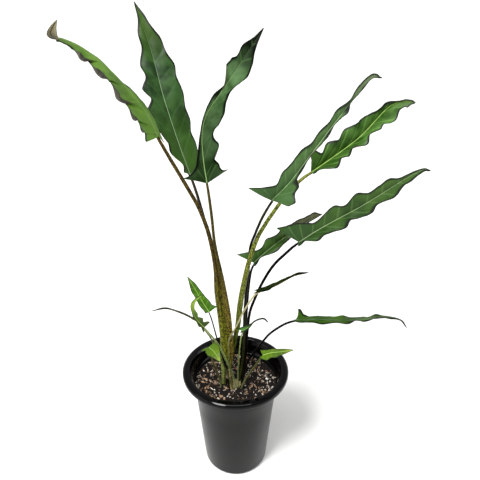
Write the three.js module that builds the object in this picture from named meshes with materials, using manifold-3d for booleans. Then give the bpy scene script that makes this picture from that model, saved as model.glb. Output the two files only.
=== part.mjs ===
// A young aroid house plant in a black plastic nursery pot. Millimetres, +Z up.
// The origin is the centre of the pot's underside, and -Y is the side that faces a viewer in front.
// Fifteen leaves rise from one corm. Each leaf is a petiole, which is its stalk, and a thin blade.

import * as THREE from 'three';
import { mergeVertices } from 'three/addons/utils/BufferGeometryUtils.js';
import Module from 'manifold-3d';

// Pot: a moulded cup with a rolled lip, a stacking ledge inside and drain holes in its base.
const LIP_RADIUS = 82.5;
const POT_HEIGHT = 184;
const LIP_HEIGHT = 8;
const LIP_SKIRT = 2.4;
const MOUTH_RADIUS = 70.5;
const COLLAR_TOP_RADIUS = 70;
const COLLAR_LOW_RADIUS = 68;
const LEDGE_TOP_Z = 154;
const LEDGE_LOW_Z = 150;
const BODY_TOP_RADIUS = 64;
const BODY_LOW_RADIUS = 51;
const FOOT_RADIUS = 48;
const FOOT_HEIGHT = 4;
const WALL = 2;
const DRAIN_COUNT = 6;
const DRAIN_RADIUS = 4.5;
const DRAIN_RING = 36;

// Soil: it fills the pot to the ledge and dips a little towards the crown of the plant.
const SOIL_EDGE_Z = 154.5;
const SOIL_MID_Z = 152.5;
const SOIL_CROWN_Z = 150.5;

// Corm: a flattened ball, sunk in the soil, that carries the petioles.
const CORM_CENTRE = [0, 1.5, 139];
const CORM_RADII = [14, 15, 13.4];

// Blades and petioles
const BLADE_THICKNESS = 1.2;
const GAP = 0.3;
const TUCK = 3;
const COLLAR_OF_BLADE = 2;
const LOBE_SHARE = 0.14;
const TIP_HALF_WIDTH = 0.6;
const WIDTH_SHARES = [0.07, 0.22, 0.4, 0.58, 0.75, 0.9];

// Each leaf gives the midrib from the stalk to the tip and the way the upper face looks along it.
// Its left and right halves each have six widths, at the shares of the length in WIDTH_SHARES, and a
// basal lobe that ends so far out and so far back. Each half is folded up by so many degrees.
// Left and right are a viewer's who looks at the upper face with the tip up.
// The stalk runs from the soil to just under the blade, and its rows are x, y, z and radius.
const LEAVES = [
  {
    name: '01',
    midrib: [
      [-91, -14, 552], [-101, -19, 579], [-117, -25, 604], [-135, -30, 628], [-158, -35, 649],
      [-177.5, -41, 660.5], [-186, -44, 662], [-187.5, -48, 665.5], [-183, -52, 671.5],
      [-176.5, -55, 678.5],
    ],
    faces: [
      [0.7, -0.5, 0.5], [0.68, -0.42, 0.58], [0.65, -0.35, 0.65], [0.63, -0.28, 0.73], [0.6, -0.2, 0.8],
      [0.5, -0.28, 0.82], [0.35, -0.35, 0.85], [0.3, 0.1, 0.9], [0.4, 0.9, -0.1],
    ],
    halves: [[18, 22, 23, 20, 11, 7], [14, 17, 15, 10, 5, 4]],
    lobes: [[19, -3], [8, 14]],
    folds: [-8, -25],
    stalk: [
      [-7.5, -2.5, 144, 4.2], [-8, -2.5, 167, 2.7], [-9, -2.5, 190, 2.5], [-13.7, -1, 215, 4.4],
      [-17, -1, 240, 5.6], [-20, 0, 280, 6], [-24, 1, 320, 5.8], [-26, 1, 355, 4.2], [-30, 1, 385, 3.2],
      [-37, 2, 420, 2.8], [-48, 2, 453, 2.6], [-58, -2, 476, 2.5], [-69, -6, 500, 2.4],
      [-83, -11, 530, 2.2],
    ],
  },
  {
    name: '02',
    midrib: [[-59, 20, 493], [-75, 40, 532], [-93, 60, 585], [-109, 88, 637], [-131, 115, 695]],
    faces: [[0.6, -0.7, 0.4], [0.3, -0.85, 0.4], [-0.2, -0.9, 0.4]],
    halves: [[10, 20, 26, 21, 12, 4.5], [21, 24, 26.5, 25, 17.5, 7.5]],
    lobes: [[10, -2], [14, 10]],
    folds: [16, 0],
    stalk: [
      [-19, 0, 143, 3.4], [-19, 1, 170, 3.4], [-20, 4, 200, 3.2], [-21, 8, 235, 2.8], [-22, 10.5, 280, 2.6],
      [-26, 11.5, 320, 2.4], [-29, 12, 360, 2.4], [-35, 12, 400, 2.2], [-47, 13, 454, 2],
      [-55, 17, 481, 1.8],
    ],
  },
  {
    name: '03',
    midrib: [
      [-35, -8, 491], [-39, 1, 517], [-40, 9, 546], [-33, 18, 572], [-5, 33, 610], [14, 47, 636],
      [36, 62, 666],
    ],
    faces: [[0.1, -0.9, 0.3], [0.6, -0.7, 0], [0, -0.8, 0.4], [-0.3, -0.8, 0.5]],
    halves: [[13.5, 6.5, 6, 6, 10, 6], [21, 22, 20, 13, 13, 5]],
    lobes: [[26, -9], [30, -11]],
    folds: [15, 0],
    stalk: [
      [-5.5, 4.4, 144, 1.8], [-7, 3, 167, 1.8], [-7.3, 2.4, 190, 2], [-6, -2.5, 214, 3.2],
      [-7.5, -3, 240, 4], [-10, -3, 280, 4.2], [-15, -3, 320, 3.8], [-20, -3, 355, 3],
      [-25, -4, 385, 2.4], [-28, -5, 410, 2], [-30, -6, 440, 2], [-33, -8, 474, 1.8],
    ],
  },
  {
    name: '04',
    midrib: [
      [49, -8, 467], [71, -10, 493], [95, -11, 529], [126, -11, 575], [155, -10, 614], [170, -8, 617],
    ],
    faces: [[0, -0.9, 0.4], [-0.6, -0.6, 0.5], [0.1, -0.9, 0.4]],
    halves: [[15.5, 14.5, 11, 7.5, 5, 4], [22, 7, 3.4, 4, 2.4, 1.8]],
    lobes: [[40, 3], [9, -6]],
    folds: [40, 15],
    stalk: [
      [4.5, 5.8, 144, 2], [9, 9, 170, 1.9], [12, 11, 200, 2], [13, 12, 235, 2.1], [13.8, 13, 270, 2.1],
      [15.5, 14, 305, 2], [19, 14.5, 345, 1.9], [21, 13, 385, 1.8], [28, 5, 413, 1.8], [36, -2, 438, 1.8],
      [44, -6, 456, 1.7],
    ],
  },
  {
    name: '05',
    midrib: [
      [104, 38, 489], [137, 54, 507], [173, 70, 530], [210, 86, 565], [236, 102, 570], [258, 118, 566],
    ],
    faces: [[-0.3, -0.75, 0.6], [-0.3, -0.8, 0.55], [-0.2, -0.8, 0.3]],
    halves: [[20, 19, 20, 14, 5, 3], [15, 21, 21, 22, 20, 9]],
    lobes: [[23, -14], [8, 2]],
    folds: [42, 42],
    stalk: [
      [-5, 8.6, 144, 2], [-6.5, 7.4, 167, 1.8], [-6.5, 7, 190, 2], [-3, 6, 214, 2.6], [0, 5, 238, 3.4],
      [4, 5, 262, 4], [7, 5, 295, 4.2], [12, 5, 330, 3.8], [19, 7, 365, 3.4], [30, 10, 401, 3],
      [42, 14, 423, 2.8], [56, 20, 443, 2.6], [72, 27, 463, 2.4], [88, 33, 478, 2.2], [98, 36, 485, 2],
    ],
  },
  {
    name: '06',
    midrib: [
      [85, -24, 415], [111, -36, 441], [156, -49, 477], [194, -61, 512], [209, -73, 528], [213, -85, 531],
    ],
    faces: [[-0.5, -0.5, 0.6], [-0.3, -0.9, 0.2], [-0.3, -0.9, 0.1]],
    halves: [[20.5, 14, 14, 12, 9, 3.5], [8, 13, 12, 10.5, 9, 4]],
    lobes: [[33, 24], [5, 3]],
    folds: [20, 20],
    stalk: [
      [9.6, 10.4, 144, 2.2], [15, 14.5, 190, 2.2], [17.8, 15, 235, 2.2], [21.3, 13, 275, 2.1],
      [29, 9, 305, 2], [39, 4, 335, 2], [53, -5, 368, 2], [70, -16, 395, 1.9], [80, -21, 408, 1.7],
    ],
  },
  {
    name: '07',
    midrib: [[28, 24, 358], [57, 35, 380], [98, 45, 408], [126, 55, 420]],
    faces: [[-0.4, -0.6, 0.7], [-0.1, -0.9, 0.3], [-0.2, -0.85, 0.5]],
    halves: [[14.5, 12, 14, 13, 10, 6], [6, 10, 10, 5.5, 3, 2]],
    lobes: [[25, 13], [9, 4]],
    folds: [36, 36],
    stalk: [
      [3.6, 10.6, 144, 2], [9, 17, 180, 2.2], [13, 21, 220, 2.2], [16.5, 22, 265, 2],
      [19.3, 22, 310, 1.8], [23.3, 21, 345, 1.7],
    ],
  },
  {
    name: '08',
    midrib: [[33, -12, 331.5], [56, -19, 345.5], [78, -27, 364.5], [97, -36, 375.5]],
    faces: [[-0.25, 0.22, 0.92], [-0.3, 0.22, 0.92], [-0.3, 0.22, 0.92]],
    halves: [[9, 10.5, 10.5, 9, 6.5, 3.5], [9, 10.5, 10.5, 9, 6.5, 3.5]],
    lobes: [[8, 11], [7, 6]],
    folds: [5, 5],
    stalk: [
      [-6.8, -9.2, 144, 1.2], [-8, -7.2, 167, 1.2], [-9, -6.9, 190, 1.2], [-9.8, -8.4, 215, 1.2],
      [-9.5, -8.8, 243, 1.2], [-3, -8.8, 258, 1.2], [3, -9.5, 272, 1.3], [12, -11, 295, 1.3],
      [26, -12, 322, 1.3],
    ],
  },
  {
    name: '09',
    midrib: [
      [85, -45, 307], [110, -61, 319], [148, -77, 329], [188, -91, 343], [202, -103, 348],
      [207, -115, 345],
    ],
    faces: [[-0.3, 0.43, 0.87], [0, 0.42, 0.88], [0.2, 0.4, 0.88]],
    halves: [[9, 10, 11, 10, 7, 2.5], [10, 11, 12, 10, 7, 2.5]],
    lobes: [[12, 3], [7, 5]],
    folds: [5, -5],
    stalk: [
      [9.6, 3, 144, 1.8], [14, 1, 177, 1.8], [25, -6, 211, 1.7], [34, -14, 233, 1.6], [42, -24, 255, 1.6],
      [51, -32, 274, 1.6], [66, -40, 293, 1.6], [78, -44, 302, 1.5],
    ],
  },
  {
    name: '10',
    midrib: [[41, -40, 241], [52, -45, 249], [66, -50, 255], [81, -54, 261]],
    faces: [[-0.3, -0.7, 0.6], [-0.15, -0.6, 0.8], [-0.1, -0.5, 0.85]],
    halves: [[6.5, 5, 5.5, 5, 3.5, 2], [8.5, 8, 7, 5.5, 3.5, 1.5]],
    lobes: [[8, 3], [3, 9]],
    folds: [10, 10],
    stalk: [
      [8, -8.6, 144, 1.7], [13, -14, 165, 1.6], [21, -22, 189, 1.5], [29, -30, 211, 1.4],
      [36, -37, 230, 1.3],
    ],
  },
  {
    name: '11',
    midrib: [[-38, -12, 297], [-46, -5, 306], [-56, 3, 321], [-69, 14, 339]],
    faces: [[0.1, -0.95, 0.3], [0.1, -0.95, 0.3], [0.2, -0.9, 0.4]],
    halves: [[5.5, 6.5, 6.5, 6, 4.5, 2], [10, 9.5, 8, 6.5, 5, 2]],
    lobes: [[6, 0], [15, 2]],
    folds: [8, 8],
    stalk: [
      [-10.5, -7.8, 144, 1.3], [-11, -13, 180, 1.2], [-19, -15, 215, 1.2], [-27, -14, 250, 1.1],
      [-34, -13, 283, 1],
    ],
  },
  {
    name: '12',
    midrib: [[-44, -38, 289], [-54, -41, 306], [-58, -42, 322], [-55, -43, 335], [-42, -45, 346]],
    faces: [[0.6, -0.7, 0.3], [0.8, -0.6, 0], [0, -1, -0.1]],
    halves: [[6, 5.5, 7.5, 8, 6, 3], [7, 6, 5, 5, 4.5, 2]],
    lobes: [[8, 3], [9, 3]],
    folds: [40, 10],
    stalk: [
      [1.6, -10.2, 144, 1.7], [-4, -16, 181, 1.6], [-11, -22, 208, 1.5], [-24, -30, 250, 1.4],
      [-36, -35, 274, 1.3],
    ],
  },
  {
    name: '13',
    midrib: [[-58, -30, 298], [-76, -38, 314], [-92, -47, 326], [-109, -58, 330]],
    faces: [[0.3, 0.5, 0.8], [0.2, 0.5, 0.85], [-0.1, 0.5, 0.85]],
    halves: [[6, 7.5, 8, 7, 5, 2.5], [6, 7.5, 8, 7, 5, 2.5]],
    lobes: [[5, 5], [5, 5]],
    folds: [5, 5],
    stalk: [
      [-3.4, -9.8, 144, 1.3], [-10, -15, 176, 1.2], [-22, -21, 220, 1.1], [-36, -26, 261, 1.1],
      [-52, -29, 289, 1],
    ],
  },
  {
    name: '14',
    midrib: [[-36, -45, 258], [-31, -53, 259.5], [-26, -61, 258.5], [-20, -69, 253]],
    faces: [[0, -0.2, 1], [-0.1, -0.5, 0.85], [-0.2, -0.6, 0.75]],
    halves: [[11, 11, 10, 8, 5, 3], [11, 11, 9.5, 7.5, 5, 2.5]],
    lobes: [[12, 4], [10, 1]],
    folds: [6, 6],
    stalk: [
      [-22, -6.8, 144, 1.5], [-25, -12, 172, 1.4], [-30, -24, 203, 1.3], [-35, -38, 237, 1.2],
      [-36, -43, 250, 1],
    ],
  },
  {
    name: '15',
    midrib: [
      [10.5, -30, 277], [15.5, -31, 280.6], [20, -32, 285], [27.3, -33, 294.5], [35.4, -34, 299.3],
      [41, -35, 300], [46, -36, 295],
    ],
    faces: [[-0.5, -0.6, 0.6], [-0.4, -0.85, 0.4], [-0.1, -0.9, 0.3]],
    halves: [[4.5, 3.6, 1.4, 1.2, 1.3, 1.2], [4, 3, 1.4, 1.2, 1.3, 1.2]],
    lobes: [[5, 7], [3, 4]],
    folds: [30, 30],
    stalk: [
      [4.6, -7.2, 144, 1.3], [4, -14, 180, 1.2], [5, -20, 210, 1.1], [7, -25, 245, 1], [9.5, -28, 268, 1],
    ],
  },
];

const wasm = await Module();
wasm.setup();

// Helpers between geometries and solids

function solidOf(geometry) {
  const bare = geometry.clone();
  bare.deleteAttribute('normal');
  bare.deleteAttribute('uv');
  const merged = mergeVertices(bare, 1e-3);
  const vertProperties = new Float32Array(merged.attributes.position.array);
  const triVerts = new Uint32Array(merged.index.array);
  return new wasm.Manifold(new wasm.Mesh({ numProp: 3, vertProperties, triVerts }));
}

function geometryOf(solid) {
  const mesh = solid.getMesh();
  const geometry = new THREE.BufferGeometry();
  geometry.setAttribute('position', new THREE.BufferAttribute(new Float32Array(mesh.vertProperties), 3));
  geometry.setIndex(new THREE.BufferAttribute(new Uint32Array(mesh.triVerts), 1));
  geometry.computeVertexNormals();
  return geometry;
}

function lathe(profile, segments) {
  const points = profile.map(([radius, z]) => new THREE.Vector2(radius, z));
  const geometry = new THREE.LatheGeometry(points, segments);
  geometry.rotateX(Math.PI / 2);
  return geometry;
}

function routeCurve(rows) {
  const points = rows.map(([x, y, z]) => new THREE.Vector3(x, y, z));
  return new THREE.CatmullRomCurve3(points, false, 'catmullrom', 0.5);
}

function between(rows, share) {
  const place = share * (rows.length - 1);
  const index = Math.min(Math.floor(place), rows.length - 2);
  return THREE.MathUtils.lerp(rows[index], rows[index + 1], place - index);
}

// Pot

function potSolid() {
  const mouthZ = POT_HEIGHT - 3;
  const lipUnderZ = POT_HEIGHT - LIP_HEIGHT;
  const profile = [
    [0, 0], [FOOT_RADIUS, 0], [BODY_LOW_RADIUS, FOOT_HEIGHT], [BODY_TOP_RADIUS, LEDGE_LOW_Z],
    [COLLAR_LOW_RADIUS, LEDGE_TOP_Z], [COLLAR_TOP_RADIUS, lipUnderZ + 1], [MOUTH_RADIUS + 2, mouthZ - 1],
    [LIP_RADIUS - LIP_SKIRT, mouthZ - 1], [LIP_RADIUS - LIP_SKIRT, lipUnderZ], [LIP_RADIUS, lipUnderZ],
    [LIP_RADIUS, mouthZ], [LIP_RADIUS - 2.5, POT_HEIGHT], [MOUTH_RADIUS + 2, POT_HEIGHT],
    [MOUTH_RADIUS, mouthZ], [COLLAR_TOP_RADIUS - WALL, lipUnderZ],
    [COLLAR_LOW_RADIUS - WALL, LEDGE_TOP_Z + 1],
    [BODY_TOP_RADIUS - WALL, LEDGE_LOW_Z + 1], [BODY_LOW_RADIUS - WALL, FOOT_HEIGHT + 1],
    [FOOT_RADIUS - 1, WALL + 1], [0, WALL + 1],
  ];
  let solid = solidOf(lathe(profile, 40));
  for (let i = 0; i < DRAIN_COUNT; i += 1) {
    const angle = (2 * Math.PI * i) / DRAIN_COUNT;
    const drill = new THREE.CylinderGeometry(DRAIN_RADIUS, DRAIN_RADIUS, 6 * WALL, 12);
    drill.rotateX(Math.PI / 2);
    drill.translate(DRAIN_RING * Math.cos(angle), DRAIN_RING * Math.sin(angle), 0);
    solid = solid.subtract(solidOf(drill));
  }
  return solid;
}

// Soil

function soilSolid() {
  const floorZ = WALL + 1 + GAP;
  const ledgeRadius = COLLAR_LOW_RADIUS - WALL - GAP;
  const profile = [
    [0, floorZ], [FOOT_RADIUS - 1 - GAP, floorZ], [BODY_LOW_RADIUS - WALL - GAP, FOOT_HEIGHT + 1 + GAP],
    [BODY_TOP_RADIUS - WALL - GAP, LEDGE_LOW_Z + 1 + GAP], [ledgeRadius - 0.4, LEDGE_TOP_Z + 0.4],
    [ledgeRadius - 3, SOIL_EDGE_Z], [42, SOIL_MID_Z], [20, SOIL_CROWN_Z], [0, SOIL_CROWN_Z],
  ];
  return solidOf(lathe(profile, 40));
}

function cormSolid(grow) {
  const ball = new THREE.SphereGeometry(1, 16, 10);
  ball.rotateX(Math.PI / 2);
  ball.scale(CORM_RADII[0] + grow, CORM_RADII[1] + grow, CORM_RADII[2] + grow);
  ball.translate(...CORM_CENTRE);
  return solidOf(ball);
}

// Leaf frame: a place on the midrib, its tangent, the way to the right half and the upper face.

function leafFrame(leaf, along) {
  const share = THREE.MathUtils.clamp(along / leaf.length, 0, 1);
  const origin = leaf.curve.getPointAt(share);
  const tangent = leaf.curve.getTangentAt(share);
  const face = new THREE.Vector3();
  face.x = between(leaf.faces.map((way) => way[0]), share);
  face.y = between(leaf.faces.map((way) => way[1]), share);
  face.z = between(leaf.faces.map((way) => way[2]), share);
  face.addScaledVector(tangent, -face.dot(tangent)).normalize();
  origin.addScaledVector(tangent, Math.min(along, 0));
  const right = new THREE.Vector3().crossVectors(tangent, face);
  return { origin, tangent, face, right };
}

// Half outline of a blade, laid flat: x is out from the midrib and y is along it.
// It starts at the end of the basal lobe and runs out round the shoulder to the tip.

function halfOutline(leaf, side) {
  const [out, back] = leaf.lobes[side];
  const widths = leaf.halves[side];
  const margin = WIDTH_SHARES.map((share, i) => [widths[i], share * leaf.length, 0]);
  return routeCurve([[out, -back, 0], ...margin, [TIP_HALF_WIDTH, leaf.length, 0]]);
}

function bladeSolid(leaf, rows, columns) {
  const sheet = new THREE.BoxGeometry(2, 1, 1, 2 * columns, rows, 1);
  sheet.translate(0, 0.5, 0);
  const outlines = [halfOutline(leaf, 0), halfOutline(leaf, 1)];
  const place = sheet.attributes.position;
  const flat = new THREE.Vector3();
  for (let i = 0; i < place.count; i += 1) {
    const side = place.getX(i) < 0 ? 0 : 1;
    const across = Math.abs(place.getX(i));
    const share = place.getY(i);
    const beyond = Math.max(share - LOBE_SHARE, 0) / (1 - LOBE_SHARE);
    const fan = Math.min(share / LOBE_SHARE, 1) - 1;
    outlines[side].getPointAt(share, flat);
    const veinStart = share < LOBE_SHARE ? COLLAR_OF_BLADE * fan : leaf.length * beyond ** 1.15;
    const x = flat.x * across;
    const y = THREE.MathUtils.lerp(veinStart, flat.y, across);
    const { origin, face, right } = leafFrame(leaf, y);
    const fold = THREE.MathUtils.degToRad(leaf.folds[side]);
    const outward = right.clone().multiplyScalar((side === 0 ? -1 : 1) * Math.cos(fold));
    outward.addScaledVector(face, Math.sin(fold));
    origin.addScaledVector(outward, x);
    origin.addScaledVector(face, place.getZ(i) * BLADE_THICKNESS);
    place.setXYZ(i, origin.x, origin.y, origin.z);
  }
  return solidOf(sheet);
}

// Petiole: a round bar of changing thickness along its route.

function petioleSolid(rows, steps, sides, grow) {
  const curve = routeCurve(rows);
  const frames = curve.computeFrenetFrames(steps, false);
  const bar = new THREE.CylinderGeometry(1, 1, 1, sides, steps);
  const radii = rows.map((row) => row[3]);
  const place = bar.attributes.position;
  for (let i = 0; i < place.count; i += 1) {
    const step = Math.round((place.getY(i) + 0.5) * steps);
    const share = step / steps;
    const radius = between(radii, curve.getUtoTmapping(share)) + grow;
    const centre = curve.getPointAt(share);
    if (step === 0) centre.addScaledVector(frames.tangents[step], -grow);
    if (step === steps) centre.addScaledVector(frames.tangents[step], grow);
    centre.addScaledVector(frames.binormals[step], place.getX(i) * radius);
    centre.addScaledVector(frames.normals[step], place.getZ(i) * radius);
    place.setXYZ(i, centre.x, centre.y, centre.z);
  }
  return solidOf(bar);
}

// The top of a stalk lies against the back of its blade, a little way past the sinus.

function stalkRows(leaf) {
  const { origin, tangent, face } = leafFrame(leaf, TUCK);
  const radius = leaf.stalk[leaf.stalk.length - 1][3] * 0.8;
  origin.addScaledVector(face, -(BLADE_THICKNESS / 2 + GAP + radius));
  return [...leaf.stalk, [origin.x, origin.y, origin.z, radius]];
}

// Assembly: what is set first keeps its shape, and what comes later is cut to clear it.

const plant = new THREE.Group();
const placed = [];

function boxesMeet(a, b) {
  return [0, 1, 2].every((axis) => a.min[axis] < b.max[axis] && b.min[axis] < a.max[axis]);
}

function clearOf(solid, others) {
  let result = solid;
  for (const other of others) {
    if (boxesMeet(result.boundingBox(), other.boundingBox())) {
      result = result.subtract(other);
    }
  }
  return result;
}

function add(name, solid, material) {
  const mesh = new THREE.Mesh(geometryOf(solid), material);
  mesh.name = name;
  plant.add(mesh);
}

const finish = (color, roughness) => new THREE.MeshStandardMaterial({ color, roughness, metalness: 0 });

const potPlastic = () => finish(0x2a2b2d, 0.45);
const pottingMix = () => finish(0x3a2c22, 0.95);
const cormSkin = () => finish(0x8c7a4a, 0.7);
const leafGreen = () => finish(0x3f5e2f, 0.4);
const stalkGreen = () => finish(0x6e7a3a, 0.5);

add('pot', potSolid(), potPlastic());

const grownCorm = cormSolid(GAP);
placed.push(grownCorm);
add('corm', cormSolid(0), cormSkin());

for (const leaf of LEAVES) {
  leaf.curve = routeCurve(leaf.midrib);
  leaf.length = leaf.curve.getLength();
}

for (const leaf of LEAVES) {
  const rows = stalkRows(leaf);
  const steps = Math.max(8, Math.round(routeCurve(rows).getLength() / 22));
  const sides = leaf.length > 80 ? 8 : 6;
  const petiole = clearOf(petioleSolid(rows, steps, sides, 0), placed);
  placed.push(petioleSolid(rows, steps, sides, GAP));
  add(`petiole_${leaf.name}`, petiole, stalkGreen());
}

add('soil', clearOf(soilSolid(), placed), pottingMix());

for (const leaf of LEAVES) {
  const rows = leaf.length > 80 ? 14 : 9;
  const blade = clearOf(bladeSolid(leaf, rows, 2), placed);
  add(`blade_${leaf.name}`, blade, leafGreen());
}

export default plant;
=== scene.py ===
# %% [markdown]
# A young aroid in a black nursery pot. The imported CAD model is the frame: it says where the pot, the
# soil, the corm, fifteen petioles and fifteen blades are. This lesson gives each of them its real
# surface. Every mesh is modelled in millimetres, as on a bench, and goes out in metres.

# %% Load the frame
import math
import random

import bmesh
import bpy
import numpy as np
from mathutils import Matrix, Vector, noise


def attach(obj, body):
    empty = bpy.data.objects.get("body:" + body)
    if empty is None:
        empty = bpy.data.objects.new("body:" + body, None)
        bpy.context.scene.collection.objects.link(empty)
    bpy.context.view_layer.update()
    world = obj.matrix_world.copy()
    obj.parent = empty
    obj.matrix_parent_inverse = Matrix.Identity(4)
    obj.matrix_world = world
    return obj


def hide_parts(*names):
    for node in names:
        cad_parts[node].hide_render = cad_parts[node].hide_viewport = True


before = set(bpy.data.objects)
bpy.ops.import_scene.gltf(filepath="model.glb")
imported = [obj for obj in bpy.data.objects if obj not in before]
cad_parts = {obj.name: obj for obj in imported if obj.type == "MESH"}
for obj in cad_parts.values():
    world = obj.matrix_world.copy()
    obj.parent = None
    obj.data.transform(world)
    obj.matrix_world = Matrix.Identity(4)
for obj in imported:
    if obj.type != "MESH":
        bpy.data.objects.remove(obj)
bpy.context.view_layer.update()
MM = 0.001

# %% [markdown]
# The camera comes first. It stands level with the leaf tips and looks down at the plant, so the rim of
# the pot shows as an ellipse. Its lens is as long as its sensor is wide, which is a slightly wide view.

# %% Camera
CAMERA_AT = (0.007, -0.584, 0.695)
CAMERA_DOWN = math.radians(26.4)
SENSOR_WIDTH = 36
LENS = 36

camera_data = bpy.data.cameras.new("camera")
camera_data.sensor_width = SENSOR_WIDTH
camera_data.lens = LENS
camera = bpy.data.objects.new("camera", camera_data)
camera.location = CAMERA_AT
camera.rotation_euler = (math.radians(90) - CAMERA_DOWN, 0, 0)
bpy.context.scene.collection.objects.link(camera)
bpy.context.scene.camera = camera
print("camera at", CAMERA_AT)

# %% [markdown]
# Colours are written as sRGB hex values, the way a colour picker shows them. A shader works with linear
# light, so one function turns them. A second function adds a node with its settings and its inputs: a
# socket is linked, a hex value becomes a colour, and anything else is set as it is.

# %% Colours and nodes


def linear(hex_colour):
    shares = [int(hex_colour[i:i + 2], 16) / 255 for i in (1, 3, 5)]
    bent = [s / 12.92 if s <= 0.04045 else ((s + 0.055) / 1.055) ** 2.4 for s in shares]
    return (*bent, 1.0)


def node(tree, kind, settings, inputs):
    made = tree.nodes.new(kind)
    for name, value in settings.items():
        setattr(made, name, value)
    for name, value in inputs.items():
        if isinstance(value, bpy.types.NodeSocket):
            tree.links.new(value, made.inputs[name])
        else:
            made.inputs[name].default_value = linear(value) if isinstance(value, str) else value
    return made


print("mid grey in linear light:", round(linear("#808080")[0], 3))

# %% [markdown]
# Every material starts the same way: a Principled shader with the roughness of its finish, and Object
# coordinates, which are metres here. A pattern of so many millimetres has a scale of one over that size.
#
# Then colours are laid over one another, as a painter glazes. Each layer has a measure, such as a noise
# or a height. The layer's colour covers what is below it by one share where the measure starts and by
# another where it ends. Last, a bump map adds the relief that is too fine for the mesh.

# %% Start, layers and end of a material
# The numbers of a colour Mix node's sockets: its factor, its two colours and its result.
FACTOR, FIRST, SECOND, MIXED = 0, 6, 7, 2


def start_material(name, roughness, **constants):
    material = bpy.data.materials.new(name)
    material.use_nodes = True
    tree = material.node_tree
    shader = tree.nodes["Principled BSDF"]
    shader.inputs["Roughness"].default_value = roughness
    for socket, value in constants.items():
        shader.inputs[socket.replace("_", " ")].default_value = value
    place = node(tree, "ShaderNodeTexCoord", {}, {}).outputs["Object"]
    return material, tree, shader, place


def lay_colours(tree, colour, layers):
    for measure, start, end, first_share, last_share, cover in layers:
        share = node(tree, "ShaderNodeMapRange", {}, {
            "Value": measure, "From Min": start, "From Max": end,
            "To Min": first_share, "To Max": last_share})
        colour = node(tree, "ShaderNodeMix", {"data_type": "RGBA"}, {
            FACTOR: share.outputs["Result"], FIRST: colour, SECOND: cover}).outputs[MIXED]
    return colour


def end_material(material, shader, colour, height=None, strength=0.0, depth_mm=0.0):
    tree = material.node_tree
    tree.links.new(colour, shader.inputs["Base Color"])
    if height is not None:
        bump = node(tree, "ShaderNodeBump", {}, {
            "Height": height, "Strength": strength, "Distance": depth_mm * MM})
        tree.links.new(bump.outputs["Normal"], shader.inputs["Normal"])
    return material


def per_mm(size):
    return 1 / (size * MM)


print("a 2 mm pattern has scale", per_mm(2))

# %% [markdown]
# A finished mesh is scaled from millimetres to metres and linked at the origin. Everything in this plant
# rests in one body, so each piece rides on "root". The CAD nodes that it stands for are hidden.

# %% Finish a piece


def new_object(bm, name):
    bmesh.ops.scale(bm, vec=(MM, MM, MM), verts=bm.verts)
    mesh = bpy.data.meshes.new(name)
    bm.to_mesh(mesh)
    bm.free()
    made = bpy.data.objects.new(name, mesh)
    bpy.context.scene.collection.objects.link(made)
    return made


def finish_piece(bm, name, materials, slot, *stands_for):
    made = new_object(bm, name)
    made.data.shade_smooth()
    for material in materials:
        made.data.materials.append(material)
    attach(made, "root")
    if stands_for:
        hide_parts(*stands_for)
    return made


# %% [markdown]
# The stage is a very wide floor in matt white paint, with the faint tone changes of a roller. One face is
# enough, because nothing on it bends. It belongs to the picture and not to the part.

# %% Floor
FLOOR_SIZE = 900_000
FLOOR_TONE_SIZE = 1000 / 3


def matt_white_paint():
    material, tree, shader, place = start_material("matt_white_paint", 0.9)
    tones = node(tree, "ShaderNodeTexNoise", {}, {"Vector": place, "Scale": per_mm(FLOOR_TONE_SIZE)})
    colour = lay_colours(tree, "#f2f2f0", [(tones.outputs["Fac"], 0, 1, 0, 1, "#f6f6f4")])
    return end_material(material, shader, colour)


bm = bmesh.new()
bmesh.ops.create_grid(bm, x_segments=1, y_segments=1, size=FLOOR_SIZE / 2)
floor = new_object(bm, "floor")
floor.data.materials.append(matt_white_paint())
print("floor width in m:", FLOOR_SIZE * MM)

# %% [markdown]
# A large soft lamp high in front at the left, set as a sun with a wide disc, models the leaves and burns
# the floor out to white. Three soft boxes add their sheen. One function makes and turns a lamp of either
# kind, because both shine along their own -Z.

# %% Lamps
SUN_STRENGTH, SUN_DISC, SUN_WAY = 3.1, math.radians(19), (0.45, 0.5, -1.0)
BOXES_AIM_AT = (0, 0, 0.35)
# Each box has its place, its width and depth in metres, and its power in watts.
SOFT_BOXES = {
    "top_box": ((0.0, -0.8, 1.9), 1.4, 0.3, 10), "left_box": ((-1.6, -0.6, 1.1), 1.0, 1.0, 5),
    "right_box": ((1.5, -0.1, 0.35), 0.8, 0.8, 4)}


def lamp(name, kind, way):
    data = bpy.data.lights.new(name, kind)
    made = bpy.data.objects.new(name, data)
    made.rotation_euler = way.to_track_quat("-Z", "Y").to_euler()
    bpy.context.scene.collection.objects.link(made)
    return made, data


for name, (at, width, depth, watts) in SOFT_BOXES.items():
    box, box_data = lamp(name, "AREA", Vector(BOXES_AIM_AT) - Vector(at))
    box.location = at
    box_data.shape = "RECTANGLE"
    box_data.size = width
    box_data.size_y = depth
    box_data.energy = watts
sun_data = lamp("key_sun", "SUN", Vector(SUN_WAY))[1]
sun_data.energy = SUN_STRENGTH
sun_data.angle = SUN_DISC

# %% [markdown]
# A white surround lights the plant from all sides, as in a photo booth. It is brightest at the horizon
# and dimmer overhead, so that the tops of the leaves keep their shading.

# %% Surround
SURROUND_ABOVE, SURROUND_LEVEL, SURROUND_TURN = 0.58, 1.1, 0.25

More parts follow.
